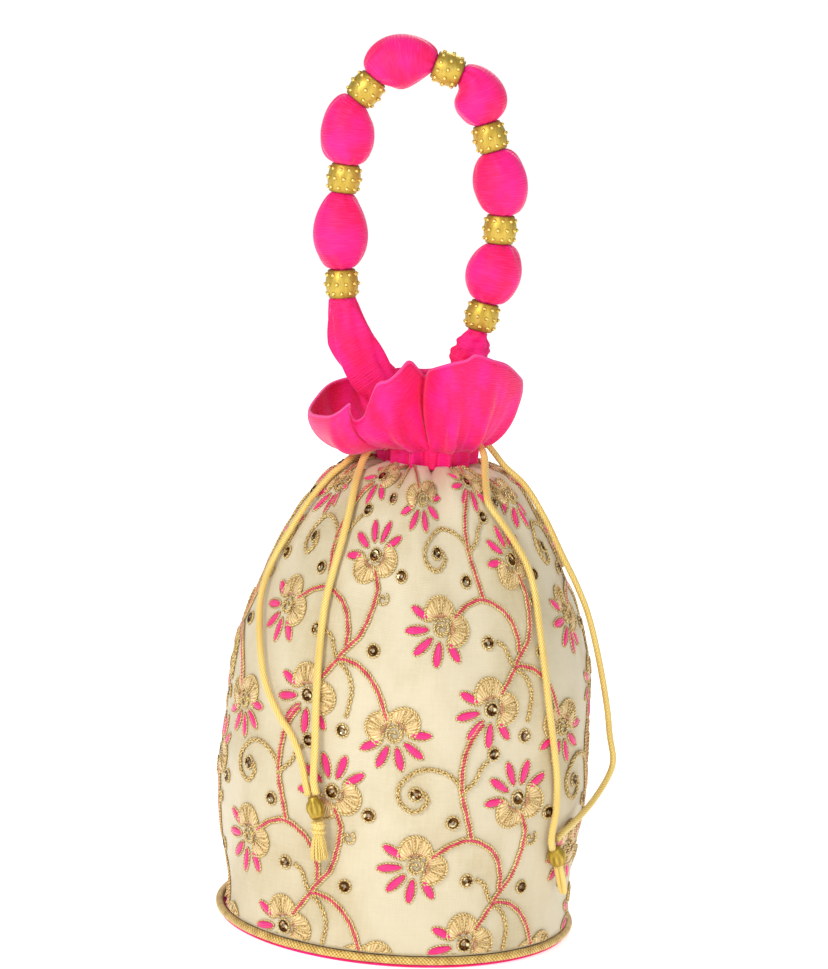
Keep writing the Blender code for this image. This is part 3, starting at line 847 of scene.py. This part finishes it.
def handle_bmesh(sides=72, step=0.7):
    count = ceil(handle_reach[-1] / step)
    marks = np.linspace(0, handle_reach[-1], count + 1)
    line = np.column_stack([np.interp(marks, handle_reach, column) for column in handle_middle.T])
    tangent = unit(np.gradient(line, axis=0))
    bm = bmesh.new()
    bmesh.ops.create_grid(bm, x_segments=count, y_segments=sides, size=0.5)
    uv = bm.loops.layers.uv.new("cloth")
    spots = {}
    for vert in bm.verts:
        spots[vert] = (round((vert.co.x + 0.5) * count), round((vert.co.y + 0.5) * sides))
    for face in bm.faces:
        for loop in face.loops:
            ring, side = spots[loop.vert]
            loop[uv].uv = (side / sides * 55, marks[ring])
    turns = 2 * pi * np.arange(sides + 1) / sides
    turns[-1] = 0.0
    rings = []
    for mark, middle, ahead in zip(marks, line, tangent):
        width, thick = handle_width(mark, turns)
        swell = crease(mark, turns, width)
        side = np.array([ahead[2], 0, -ahead[0]])
        rings.append(
            middle + np.outer(np.cos(turns) * width * swell, side)
            + np.outer(np.sin(turns) * thick * swell, (0, 1, 0))
        )
    for vert, (ring, side) in spots.items():
        vert.co = rings[ring][side]
    bmesh.ops.remove_doubles(bm, verts=bm.verts, dist=1e-4)
    bmesh.ops.holes_fill(bm, edges=[edge for edge in bm.edges if edge.is_boundary], sides=sides)
    bmesh.ops.recalc_face_normals(bm, faces=bm.faces)
    return bm


handle = finished("silk_handle", handle_bmesh(), PINK_SILK)
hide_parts("handle_sleeve")

# %% [markdown]
# ## Antique gold
# The beads are plated metal with a brushed, slightly worn skin. Each bead carries a painted attribute that sets
# its colour: the stud tops are painted near the colour of a highlight, dull brown patina sits round the
# studs' feet, and the rolled rims and the bore are painted darker as shade.

# %% Antique gold
def antique_gold():
    material, wire = start_finish("antique_gold_plating", {})
    exposed = wire.node("Attribute", {"attribute_name": "exposed"}, None, 2)
    place = wire.node("TexCoord", None, None, 3)
    brushed = cloudy(wire, stretched(wire, place, (900, 900, 260)), 1.0, 2.0)
    patches = cloudy(wire, place, 260.0, 3.0)
    # Painted light: high values paint the stud tops near a highlight's colour, and low values paint shade on the
    # rims and bore and patina round the studs' feet.
    bright = exposed * 0.75 + brushed * 0.25
    colour = wire.node(
        "ValToRGB",
        {"stops": [(0.0, linear(88, 62, 14)), (0.55, linear(196, 164, 66)), (1.0, linear(250, 232, 140))]},
        {0: bright},
    )
    shine = 0.34 + 0.16 * patches + 0.14 * (1 - exposed)
    metal = 0.72 + 0.25 * exposed
    normal = bumped(wire, brushed * 0.6 + patches * 0.4, 0.00015)
    return end_finish(material, {"Base Color": colour, "Metallic": metal, "Roughness": shine, "Normal": normal})


ANTIQUE_GOLD = antique_gold()

# %% [markdown]
# ## The studded beads
# A bead is one outline turned about its own axis, with a rolled lip at each end and a bore for the silk.
# Three staggered rows of round studs are set into it. It is made upright, then tipped onto its hinge.

# %% One bead
BEAD_OUTLINE = [
    (4.05, -5.0), (4.1, -5.35), (4.9, -5.4), (5.25, -5.15), (5.3, -4.75), (5.55, -4.1), (5.95, -2.9),
    (6.2, -1.5), (6.28, 0.0),
]
STUD_ROWS = [(-3.55, 5.72, 0.0), (0.0, 6.28, 0.5), (3.55, 5.72, 0.0)]
STUDS_ROUND = 11


def turned(outline, steps):
    """A closed piece turned about Z from an outline of (radius, height)."""
    bm = bmesh.new()
    points = [bm.verts.new((radius, 0, height)) for radius, height in outline]
    edges = [bm.edges.new(pair) for pair in zip(points, points[1:])]
    if outline[0][0] > 0:
        edges.append(bm.edges.new((points[-1], points[0])))
    bmesh.ops.spin(
        bm, geom=points + edges, cent=(0, 0, 0), axis=(0, 0, 1), dvec=(0, 0, 0),
        angle=2 * pi, steps=steps, use_merge=True, use_duplicate=False,
    )
    bmesh.ops.remove_doubles(bm, verts=bm.verts, dist=1e-4)
    bmesh.ops.recalc_face_normals(bm, faces=bm.faces)
    return bm


def bead_bmesh():
    upper = [(radius, -height) for radius, height in BEAD_OUTLINE[-2::-1]]
    bm = turned(BEAD_OUTLINE + upper, 44)
    exposed = bm.verts.layers.float.new("exposed")
    # The body is mid gold, painted darker as shade towards the rolled lips and in the bore.
    for vert in bm.verts:
        around = Vector((vert.co.x, vert.co.y)).length
        rim = max(abs(vert.co.z) - 3.9, 0) / 1.5
        vert[exposed] = 0.62 - 0.5 * rim if around > 4.8 else 0.1
    for height, radius, shift in STUD_ROWS:
        for k in range(STUDS_ROUND):
            angle = 2 * pi * (k + shift) / STUDS_ROUND
            place = Matrix.Rotation(angle, 4, "Z") @ Matrix.Translation((radius, 0, height))
            place = place @ Matrix.Diagonal((0.85, 0.78, 0.78, 1))
            stud = bmesh.ops.create_uvsphere(bm, u_segments=10, v_segments=6, radius=1.0, matrix=place)
            # Each stud is painted dark as patina at its foot and bright as a highlight at its top.
            for vert in stud["verts"]:
                reach = Vector((vert.co.x, vert.co.y)).length - radius
                vert[exposed] = 0.3 + 0.7 * max(min(reach / 0.5, 1.0), 0.0)
    return bm


for name, centre, axis in bead_places:
    bm = bead_bmesh()
    upright = Vector(axis).to_track_quat("Z", "Y").to_matrix().to_4x4()
    bm.transform(Matrix.Translation(centre) @ upright)
    bead = finished(f"studded_{name}", bm, ANTIQUE_GOLD, body=name)
    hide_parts("handle_" + name)

# %% [markdown]
# ## Thread and stitches
# The embroidery is traditional chain-stitch vine work: pink and gold vines, five-petalled flowers with two
# fan leaves, curling gold tendrils and small sequins. Gold thread is metal foil wound on a core, so it shows
# as a row of tiny bright and dark slants. Petals are filled with long pink stitches that lie side by side.

# %% Gold thread, pink thread and sequin gilt
def wound_thread(name, dark, middle, light, metal):
    material, wire = start_finish(name, {"Metallic": metal, "Sheen Weight": 0.1})
    uv, across, along = across_and_along(wire, "cloth")
    twist = (along * 0.8 + across * 0.55).wave()
    uneven = cloudy(wire, stretched(wire, uv, (0.5, 0.8, 1)), 1.0, 2.0)
    tone = twist * 0.6 + uneven.clip(0.3, 0.7) * 0.4
    colour = wire.node("ValToRGB", {"stops": [(0.0, dark), (0.5, middle), (1.0, light)]}, {0: tone})
    normal = bumped(wire, twist, 0.0003)
    return end_finish(material, {"Base Color": colour, "Roughness": 0.42 - 0.1 * twist, "Normal": normal})


GOLD_THREAD = wound_thread(
    "wound_gold_thread", linear(138, 92, 38), linear(222, 184, 102), linear(255, 242, 184), 0.2,
)
PINK_THREAD = wound_thread(
    "wound_pink_thread", linear(176, 24, 60), linear(232, 52, 92), linear(255, 120, 140), 0.0,
)


def filled_stitches(name, low, high, pitch, metal, inner):
    """Long stitches laid side by side. inner tints the end of the shape where the stitches begin."""
    material, wire = start_finish(name, {"Metallic": metal, "Sheen Weight": 0.3})
    uv, across, along = across_and_along(wire, "cloth")
    rows = (across * pitch).wave()
    uneven = cloudy(wire, stretched(wire, uv, (1.6, 0.25, 1)), 1.0, 2.0)
    tone = rows * 0.5 + uneven.clip(0.3, 0.7) * 0.5
    colour = blend_colours(wire, tone, low, high)
    colour = blend_colours(wire, (1 - along.clip(0.6, 2.6)) * 0.6, colour, inner)
    normal = bumped(wire, rows * 0.6 + uneven * 0.4, 0.00025)
    return end_finish(material, {"Base Color": colour, "Roughness": 0.5 - 0.15 * rows, "Normal": normal})


PETAL_STITCHES = filled_stitches(
    "pink_petal_stitches", linear(226, 0, 92), linear(255, 34, 150), 1.15, 0.0, linear(214, 20, 80),
)
LEAF_STITCHES = filled_stitches(
    "gold_leaf_stitches", linear(178, 134, 72), linear(250, 226, 164), 0.75, 0.12, linear(206, 110, 96),
)


def sequin_gilt():
    material, wire = start_finish("sequin_gilt", {"Metallic": 0.95})
    uv, across, along = across_and_along(wire, "cloth")
    painted_glint_noise = cloudy(wire, stretched(wire, uv, (0.35, 0.35, 1)), 1.0, 2.0)
    # Dark brown foil with near-white flecks painted on as glints.
    stops = [(0.4, linear(44, 22, 8)), (0.54, linear(120, 76, 30)), (0.66, linear(250, 230, 180))]
    colour = wire.node("ValToRGB", {"stops": stops}, {0: painted_glint_noise})
    return end_finish(material, {"Base Color": colour, "Roughness": 0.12 + 0.2 * painted_glint_noise})


SEQUIN_GILT = sequin_gilt()

# %% [markdown]
# ## The vine pattern
# The pattern is drawn once, flat, in millimetres: x runs round the bag, y up it, and z is the height above
# the cloth. It is one branching point of the vine with its flowers and curls. The whole bag repeats it six
# times round and in three rows, each row shifted a little, and the last row is lost in the gathers.

# %% Small shapes for the pattern
pattern = {kind: bmesh.new() for kind in ("gold", "pink", "petals", "leaves", "sequins")}


def add_to(kind, bm, place=None):
    if place:
        bm.transform(place)
    mesh = bpy.data.meshes.new("passing")
    bm.to_mesh(mesh)
    bm.free()
    pattern[kind].from_mesh(mesh)
    bpy.data.meshes.remove(mesh)


def flat_line(points, step, lift):
    line = smooth_line([(x, y, lift) for x, y in points], step)
    return line


def beside(line, distance):
    """A line shifted sideways on the cloth."""
    tangent = unit(np.gradient(line, axis=0))
    return line + distance * np.stack([-tangent[:, 1], tangent[:, 0], 0 * tangent[:, 0]], axis=-1)


def swaying(line, size, pitch, phase):
    """A line that sways to both sides of another, as two threads do that are wound round each other."""
    mark = along_line(line)
    sway = size * np.sin(2 * pi * mark / pitch + phase)
    shifted = beside(line, sway[:, None])
    shifted[:, 2] += 0.3 * size * np.cos(2 * pi * mark / pitch + phase)
    return shifted


def add_thread(kind, line, radius, sides=6):
    add_to(kind, tube(line, radius, sides))


def add_stem(points):
    """A pink thread between two gold ones."""
    line = flat_line(points, 1.25, 0.55)
    add_thread("pink", line, 0.52)
    add_thread("gold", beside(line, 0.85 + 0.12 * np.sin(along_line(line))[:, None]), 0.44)
    add_thread("gold", beside(line, -0.85 - 0.12 * np.cos(along_line(line))[:, None]), 0.44)


def add_tendril(points):
    """Two gold threads wound round each other."""
    line = flat_line(points, 1.0, 0.6)
    add_thread("gold", swaying(line, 0.62, 5.2, 0.0), 0.46)
    add_thread("gold", swaying(line, 0.62, 5.2, pi), 0.46)


# %% Petals, leaves, sequins and flowers
def petal_bmesh():
    """A stitched petal along +X from its inner end, with a low domed top."""
    bm = bmesh.new()
    bmesh.ops.create_uvsphere(bm, u_segments=12, v_segments=7, radius=1.0)
    bmesh.ops.rotate(bm, verts=bm.verts, matrix=Matrix.Rotation(pi / 2, 3, "Y"))
    uv = bm.loops.layers.uv.new("cloth")
    for vert in bm.verts:
        along, across, up = vert.co
        narrow = 0.78 + 0.22 * along
        vert.co = (5.0 + 5.0 * along, 1.8 * across * narrow, 0.2 + 0.75 * up)
    for face in bm.faces:
        for loop in face.loops:
            loop[uv].uv = (loop.vert.co.y, loop.vert.co.x)
    return bm


def leaf_bmesh(wide=6.4, deep=8.6):
    """A fan leaf: stitches spread from its flat inner side to a rounded outer edge."""
    bm = bmesh.new()
    bmesh.ops.create_grid(bm, x_segments=14, y_segments=4, size=0.5)
    uv = bm.loops.layers.uv.new("cloth")
    for face in bm.faces:
        for loop in face.loops:
            loop[uv].uv = (loop.vert.co.x * 16, (loop.vert.co.y + 0.5) * deep)
    for vert in bm.verts:
        share = vert.co.y + 0.5
        angle = pi * (vert.co.x + 0.5)
        edge = Vector((deep * sin(angle) ** 0.8, -wide * cos(angle)))
        start = Vector((0.6 * sin(angle), -2.4 * cos(angle)))
        spot = start.lerp(edge, share)
        vert.co = (spot.x, spot.y, 0.35 + 0.55 * sin(pi * share) ** 0.7)
    bmesh.ops.solidify(bm, geom=bm.faces, thickness=0.3)
    bmesh.ops.recalc_face_normals(bm, faces=bm.faces)
    return bm


def leaf_edge(wide=6.4, deep=8.6):
    angles = np.linspace(0.02, pi - 0.02, 15)
    arc = [(deep * sin(a) ** 0.8, -wide * cos(a)) for a in angles]
    return [(0.3, -1.2)] + arc + [(0.3, 1.2)]


def at(x, y, degrees, lift=0.0, size=1.0):
    turn = Matrix.Rotation(radians(degrees), 4, "Z")
    return Matrix.Translation((x, y, lift)) @ turn @ Matrix.Diagonal((size, size, 1, 1))


def carried(points, x, y, degrees, size=1.0):
    place = at(x, y, degrees, 0.0, size)
    return [tuple((place @ Vector((a, b, 0)))[:2]) for a, b in points]


def add_ring(x, y, radius, thread=0.42):
    circle = [(x + radius * cos(a), y + radius * sin(a)) for a in np.linspace(0, 2 * pi, 10)[:-1]]
    line = smooth_line([(*point, 0.5) for point in circle], 1.1, closed=True)
    add_thread("gold", line, thread)


def add_sequin(x, y, radius=2.2):
    """A cupped foil disc with a hole, in a ring of gold thread."""
    cup = [(0.75, 0.45), (1.4, 0.35), (radius, 0.75), (radius, 0.95), (1.4, 0.6), (0.75, 0.7)]
    bm = turned(cup, 14)
    uv = bm.loops.layers.uv.new("cloth")
    for face in bm.faces:
        for loop in face.loops:
            loop[uv].uv = (loop.vert.co.x + 7 * x, loop.vert.co.y + 3 * y)
    add_to("sequins", bm, at(x, y, 0))
    add_ring(x, y, radius + 0.55)


def add_rosette(x, y):
    """A little coil of gold thread."""
    coil = [
        ((0.6 + 0.3 * k) * cos(0.9 * k), (0.6 + 0.3 * k) * sin(0.9 * k)) for k in range(9)
    ]
    add_thread("gold", flat_line([(x + a, y + b) for a, b in coil], 0.9, 0.7), 0.5)


def add_flower(x, y, junction, middle="sequin", size=1.0):
    """Five petals on the far side of the junction and two fan leaves on the near side."""
    for spread in (-76, -38, 0, 38, 76):
        angle = junction + 180 + spread
        start = at(x, y, angle, 0.0, size) @ Matrix.Translation((4.9, 0, 0))
        add_to("petals", petal_bmesh(), start)
        rim = [(0.0, 0), (1.6, 1.35), (5, 1.95), (8.4, 1.45), (10.3, 0), (8.4, -1.45), (5, -1.95), (1.6, -1.35)]
        rim = carried([(a + 4.9, b) for a, b in rim], x, y, angle, size)
        line = smooth_line([(*point, 0.35) for point in rim], 1.6, closed=True)
        add_thread("gold", line, 0.3, 5)
    for spread in (-52, 52):
        angle = junction + spread
        add_to("leaves", leaf_bmesh(), at(x, y, angle, 0.0, size) @ Matrix.Translation((3.4, 0, 0)))
        rim = carried([(a + 3.4, b) for a, b in leaf_edge()], x, y, angle, size)
        add_thread("gold", flat_line(rim, 1.3, 0.5), 0.5)
        for rib in (-24, 0, 24):
            spoke = [(1.4 * cos(radians(rib)), 1.4 * sin(radians(rib)))]
            spoke.append((7.4 * cos(radians(rib)), 6.0 * sin(radians(rib))))
            spoke = carried([(a + 3.4, b) for a, b in spoke], x, y, angle, size)
            add_thread("gold", flat_line(spoke, 1.4, 1.05), 0.28, 5)
    if middle == "sequin":
        add_sequin(x, y, 2.2)
    else:
        add_rosette(x, y)
        add_ring(x, y, 3.0)


# %% The vine's branching point
add_stem([(0, 0), (2.7, 4.3), (7.5, 10), (10.3, 18), (11.5, 27), (10.5, 31), (8.5, 35)])
add_stem([(2.7, 5.5), (2.3, 11.4), (-0.4, 18.4), (-5, 23), (-12, 26), (-18, 25), (-22.7, 22.4), (-27, 19)])
add_stem([(-12, 26), (-14, 33), (-17, 43), (-17.6, 52.5), (-16, 61), (-12, 68), (-9.8, 70)])
add_stem([(0, 0), (3.5, 0.4), (9.5, -1.5), (15, -6), (19, -12), (20, -15), (22, -20)])
add_stem([(-7, -9.5), (-4.5, -6), (0, 0)])
add_flower(7, 41, -70)
add_flower(-32.5, 15.5, 45, "rosette")
add_flower(-11, -15, 50)
add_flower(25, -25, 105, "rosette", 0.95)
add_tendril([(0.5, -0.5), (5, -4), (7.5, -10), (7, -16), (6, -21)])
add_tendril([(-1, 1), (-2.3, 3.5), (-4.3, 8), (-8, 10)])
add_tendril([(-17, 43), (-16, 45), (-12, 49), (-10, 53), (-7, 56)])
add_tendril([
    (-17.5, 46), (-21, 50), (-26, 52.5), (-32, 53), (-37, 50.5), (-41, 45.5), (-40, 40), (-36, 37),
    (-32.5, 37.6), (-30, 41.5), (-32, 44.5),
])
for x, y in [(5, -26), (-12, 9.8), (-4.7, 58.5), (-34.5, 43.5), (-20, 33), (14, 5), (22, 34)]:
    add_sequin(x, y, 1.9)
add_rosette(14.5, 24.5)

# %% [markdown]
# ## Sewing the pattern on
# Each copy of the flat pattern is cut off where it would run past the base seam or into the neck, and then
# every one of its points goes through the same map as the cloth, lifted by its own height. So the stitches
# bend with each gather and dent.

# %% Copies on the cloth
PATTERN_ROWS = [(19.5, -27.8), (110.0, -24.3), (200.5, -21.0)]  # height of the branching point, first turn
REPEATS = 6
EDGE = (0.8, CLOTH_HEIGHT - 0.8)


def trimmed(template, low, high):
    """A copy of the pattern without what lies below or above two heights, its cut ends closed again."""
    bm = template.copy()
    for height, side in ((low, -1), (high, 1)):
        geometry = bm.verts[:] + bm.edges[:] + bm.faces[:]
        bmesh.ops.bisect_plane(
            bm, geom=geometry, plane_co=(0, height, 0), plane_no=(0, side, 0), clear_outer=True,
        )
        bmesh.ops.holes_fill(bm, edges=[edge for edge in bm.edges if edge.is_boundary], sides=60)
    return bm


def sewn_on(name, template, material):
    whole = bmesh.new()
    turns, heights = [], []
    for up, first in PATTERN_ROWS:
        row = trimmed(template, EDGE[0] - up, EDGE[1] - up)
        mesh = bpy.data.meshes.new("passing")
        row.to_mesh(mesh)
        row.free()
        for k in range(REPEATS):
            whole.from_mesh(mesh)
            turns += [radians(first + 360 / REPEATS * k)] * len(mesh.vertices)
            heights += [up] * len(mesh.vertices)
        bpy.data.meshes.remove(mesh)
    spots = np.array([vert.co for vert in whole.verts])
    places = cloth_place(
        np.array(turns) + spots[:, 0] / BODY_RADIUS, np.array(heights) + spots[:, 1], spots[:, 2],
    )
    for vert, place in zip(whole.verts, places):
        vert.co = place
    return finished(name, whole, material)


sewn_pieces = [
    sewn_on("embroidery_gold_thread", pattern["gold"], GOLD_THREAD),
    sewn_on("embroidery_pink_vine", pattern["pink"], PINK_THREAD),
    sewn_on("embroidery_petals", pattern["petals"], PETAL_STITCHES),
    sewn_on("embroidery_leaves", pattern["leaves"], LEAF_STITCHES),
    sewn_on("sequins", pattern["sequins"], SEQUIN_GILT),
]

# %% [markdown]
# ## The base
# The side cloth is sewn to a round of pink silk, stiffened inside by a card disc. A piping of gold tissue,
# a strip of metallic cloth folded over a string, is caught in the seam. Its weave runs slantwise because the
# strip is cut on the bias. Only a thin line of pink shows below it.

# %% The piping
PIPING_RING = 68.6
PIPING_HEIGHT = 2.95
PIPING_RADIUS = 1.5


def gold_tissue():
    material, wire = start_finish("gold_tissue_weave", {"Metallic": 0.3, "Sheen Weight": 0.2})
    uv, across, along = across_and_along(wire, "cloth")
    weave = (along * 0.7 + across * 0.6).wave() * 0.6 + (along * 0.7 - across * 0.6).wave() * 0.4
    worn = cloudy(wire, stretched(wire, uv, (0.2, 0.25, 1)), 1.0, 3.0)
    colour = wire.node(
        "ValToRGB",
        {"stops": [(0.1, linear(150, 106, 40)), (0.5, linear(208, 168, 78)), (0.9, linear(246, 222, 142))]},
        {0: weave * 0.7 + worn.clip(0.3, 0.7) * 0.3},
    )
    normal = bumped(wire, weave, 0.0002)
    return end_finish(material, {"Base Color": colour, "Roughness": 0.38 + 0.15 * worn, "Normal": normal})


GOLD_TISSUE = gold_tissue()


def piping_bmesh():
    bm = bmesh.new()
    upright = Matrix.Rotation(pi / 2, 4, "X")
    place = Matrix.Translation((PIPING_RING, 0, PIPING_HEIGHT)) @ upright
    bmesh.ops.create_circle(bm, segments=14, radius=PIPING_RADIUS, matrix=place)
    bmesh.ops.spin(
        bm, geom=bm.verts[:] + bm.edges[:], cent=(0, 0, 0), axis=(0, 0, 1), dvec=(0, 0, 0),
        angle=2 * pi, steps=180, use_merge=True, use_duplicate=False,
    )
    bmesh.ops.remove_doubles(bm, verts=bm.verts, dist=1e-4)
    bmesh.ops.recalc_face_normals(bm, faces=bm.faces)
    uv = bm.loops.layers.uv.new("cloth")
    for face in bm.faces:
        middle = face.calc_center_median()
        first = np.arctan2(middle.x, -middle.y)
        section = np.arctan2(middle.z - PIPING_HEIGHT, Vector((middle.x, middle.y)).length - PIPING_RING)
        for loop in face.loops:
            spot = loop.vert.co
            round_bag = np.arctan2(spot.x, -spot.y)
            angle = np.arctan2(spot.z - PIPING_HEIGHT, Vector((spot.x, spot.y)).length - PIPING_RING)
            round_bag = first + (round_bag - first + pi) % (2 * pi) - pi
            angle = section + (angle - section + pi) % (2 * pi) - pi
            loop[uv].uv = (angle * PIPING_RADIUS, round_bag * PIPING_RING)
    return bm


piping = finished("gold_piping", piping_bmesh(), GOLD_TISSUE)
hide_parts("base_piping")


# %% The base cloth
def lie_flat_uv(bm):
    """UVs for a piece of cloth that lies level."""
    uv = bm.loops.layers.uv.get("cloth") or bm.loops.layers.uv.new("cloth")
    for face in bm.faces:
        for loop in face.loops:
            loop[uv].uv = (loop.vert.co.x, loop.vert.co.y)


base = turned([(0, 0.05), (60, 0.05), (64, 0), (67.6, 0.05), (68.5, 0.5), (68.5, 1.15), (0, 1.15)], 120)
lie_flat_uv(base)
base_cloth = finished("base_cloth", base, PINK_SILK)
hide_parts("base_panel")

# %% [markdown]
# ## The lining
# A plain cotton bag hangs inside the outer one and is gathered with it. It is made by the same net and the
# same gathers, moved inwards, with a floor drawn in from its lower edge.

# %% Lining cotton and the lining
def lining_cotton():
    material, wire = start_finish("lining_cotton_cloth", {"Sheen Weight": 0.15})
    uv, across, along = across_and_along(wire, "cloth")
    weave = (across * 1.3).wave() * 0.5 + (along * 1.3).wave() * 0.5
    slubs = cloudy(wire, stretched(wire, uv, (0.2, 0.9, 1)), 1.0, 3.0)
    colour = blend_colours(wire, weave * 0.4 + slubs * 0.6, linear(206, 196, 168), linear(232, 224, 200))
    normal = bumped(wire, weave * 0.6 + slubs * 0.4, 0.0002)
    return end_finish(material, {"Base Color": colour, "Roughness": 0.78 + 0.1 * slubs, "Normal": normal})


LINING_COTTON = lining_cotton()
LINING_INSET = 2.4
LINING_FLOOR = 5.2


def lining_bmesh():
    bm = cloth_net(0.0, 1.5, CLOTH_HEIGHT - 1.0, 160, 60)
    for vert in bm.verts:
        around = Vector((vert.co.x, vert.co.y))
        inner = around * (1 - LINING_INSET / around.length)
        vert.co = (inner.x, inner.y, vert.co.z)
    hem = [edge for edge in bm.edges if edge.is_boundary and edge.verts[0].co.z < CLOTH_HEIGHT / 2]
    walls = set(bm.faces)
    for share in (0.55, 0.1):
        grown = bmesh.ops.extrude_edge_only(bm, edges=hem)["geom"]
        verts = [part for part in grown if isinstance(part, bmesh.types.BMVert)]
        hem = [part for part in grown if isinstance(part, bmesh.types.BMEdge)]
        bmesh.ops.scale(bm, vec=(share, share, 1), verts=verts)
        for vert in verts:
            vert.co.z = LINING_FLOOR
    bmesh.ops.pointmerge(bm, verts=verts, merge_co=(0, 0, LINING_FLOOR))
    uv = bm.loops.layers.uv["cloth"]
    for face in bm.faces:
        if face not in walls:
            for loop in face.loops:
                loop[uv].uv = (loop.vert.co.x, loop.vert.co.y)
    bmesh.ops.recalc_face_normals(bm, faces=bm.faces)
    return bm


lining = finished("cotton_lining", lining_bmesh(), LINING_COTTON)
add_wall(lining, 0.4)
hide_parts("lining")

# %% [markdown]
# ## What hangs on the drawstrings
# Each drawstring passes through a small fluted gold cap. Below the left one it is knotted and its ends are
# teased out into a tassel. Below the right one a short end of cord is folded back on itself.

# %% The end caps
END_CAPS = {  # centre, direction that it hangs in, half its length, radius
    "left": ((-32.1, -67.7, 59.3), (0.307, -0.146, -0.940), 4.1, 3.3),
    "right": ((60.0, -42.5, 40.4), (0.229, 0.352, -0.907), 3.9, 3.4),
}
FLUTES = 9


def hung(bm, place, direction):
    """A piece made downwards along +Z, put where it hangs."""
    bm.transform(Matrix.Translation(place) @ Vector(direction).to_track_quat("Z", "Y").to_matrix().to_4x4())
    return bm


def end_cap_bmesh(half, radius):
    shares = [(0, -1), (0.5, -1), (0.6, -0.86), (0.62, -0.7), (0.86, -0.5), (1, -0.1), (0.97, 0.3),
              (0.82, 0.62), (0.84, 0.8), (0.66, 0.98), (0.4, 1), (0, 1)]
    bm = turned([(radius * across, half * along) for across, along in shares], 54)
    exposed = bm.verts.layers.float.new("exposed")
    # The flute ridges are painted brighter as a highlight, and the grooves darker as patina.
    for vert in bm.verts:
        angle = np.arctan2(vert.co.y, vert.co.x)
        belly = max(1 - abs(vert.co.z / half - 0.1) / 0.7, 0)
        flute = cos(FLUTES * angle)
        vert[exposed] = 0.45 + 0.35 * flute * belly
        vert.co.x *= 1 + 0.1 * flute * belly
        vert.co.y *= 1 + 0.1 * flute * belly
    return bm


for side, (place, direction, half, radius) in END_CAPS.items():
    cap = hung(end_cap_bmesh(half, radius), place, direction)
    finished(f"{side}_end_cap", cap, ANTIQUE_GOLD)
    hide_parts(f"{side}_end_bead")


# %% The tassel and the folded end
def below_cap(side, distance):
    place, direction = END_CAPS[side][:2]
    return Vector(place) + distance * Vector(direction)


def joined(parts):
    """Several pieces of cord or thread as one mesh."""
    whole = bmesh.new()
    for bm in parts:
        mesh = bpy.data.meshes.new("passing")
        bm.to_mesh(mesh)
        bm.free()
        whole.from_mesh(mesh)
        bpy.data.meshes.remove(mesh)
    return whole


def tassel_bmesh(threads=34):
    knot = [(0, 0, 0), (0.5, 0, 1.2), (-0.3, 0, 2.4), (0.3, 0, 3.8), (0, 0, 5.6)]
    parts = [tube(smooth_line(knot, 0.5), 2.35, 12)]
    parts += [
        tube(smooth_line([(2.3 * cos(a), 2.3 * sin(a), z + 0.5 * sin(a)) for a in np.linspace(0, 2 * pi, 9)[:-1]],
                         0.8, closed=True), 0.65, 6)
        for z in (1.9, 4.6)
    ]
    for k in range(threads):
        angle = 2.399963 * k
        spread = (0.35 + 0.65 * (k / threads)) ** 0.7
        start = (1.3 * spread * cos(angle), 1.3 * spread * sin(angle), 4.4)
        middle = (2.5 * spread * cos(angle + 0.1), 2.5 * spread * sin(angle + 0.1), 9.0)
        end = (3.3 * spread * cos(angle), 3.3 * spread * sin(angle), 15.3 - 0.7 * sin(5 * angle))
        parts.append(tube(smooth_line([start, middle, end], 1.6), 0.42, 5))
    return joined(parts)


TASSEL_LEAN = (0.09, 0.04, -0.995)
tassel = hung(tassel_bmesh(), below_cap("left", 4.6), TASSEL_LEAN)
tassel = finished("thread_tassel", tassel, GOLD_SATIN)
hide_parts("left_tassel")

folded = [(-0.85, 0, -0.6), (-1.0, 0.1, 5), (-0.95, 0, 10.5), (-0.5, 0, 13), (0.5, 0, 13), (0.95, 0, 10.5),
          (1.0, -0.1, 5), (0.85, 0, -0.6)]
tail = hung(tube(smooth_line(folded, 0.7), 1.05, 10), below_cap("right", 4.2), END_CAPS["right"][1])
tail = finished("folded_cord_end", tail, GOLD_SATIN)
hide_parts("right_tail")

# %% [markdown]
# ## Parts that stay hidden
# The card in the base, the wadding in the puffs and the stretch of cord inside the channel keep the frame's
# own shapes. They get proper finishes too, which read the place in the room because they have no UV map.

# %% Card, wadding and hidden cord
def hidden_finish(name, scale, low, high, roughness, bump):
    material, wire = start_finish(name, {})
    place = wire.node("TexCoord", None, None, 3)
    fibres = cloudy(wire, stretched(wire, place, scale), 1.0, 5.0)
    colour = blend_colours(wire, fibres.clip(0.3, 0.7), low, high)
    return end_finish(
        material,
        {"Base Color": colour, "Roughness": roughness + 0.1 * fibres, "Normal": bumped(wire, fibres, bump)},
    )


GREY_CARD = hidden_finish(
    "grey_card_board", (400, 400, 900), linear(128, 122, 112), linear(166, 160, 148), 0.8, 0.0002
)
WADDING = hidden_finish(
    "white_wadding", (500, 500, 500), linear(214, 212, 204), linear(244, 243, 238), 0.85, 0.0008
)
HIDDEN_CORD = hidden_finish(
    "gold_cord_in_channel", (900, 900, 900), linear(214, 168, 70), linear(246, 220, 130), 0.35, 0.0002
)
for name, part in frame["nodes"].items():
    if name == "base_board":
        part.data.materials[0] = GREY_CARD
    if name.startswith("handle_filling"):
        part.data.materials[0] = WADDING
    if name.endswith("in_casing"):
        part.data.materials[0] = HIDDEN_CORD

# %% [markdown]
# ## The frill's cut size
# The frill's strip is measured from its rings, and its length and height are printed.

# The side panels are as wide as the bag's girth. The lining is two cuts, a side panel and a round floor.
# The frill is a strip as long as its rim, cut as high as the cloth measures from neck to rim.
rim_length = np.linalg.norm(np.diff(frill_rings[-1], axis=0), axis=1).sum() * MM
frill_height = np.linalg.norm(np.diff(frill_rings, axis=0), axis=2).sum(axis=0).mean() * MM
print(f"frill strip {rim_length:.4f} by {frill_height:.4f} m")
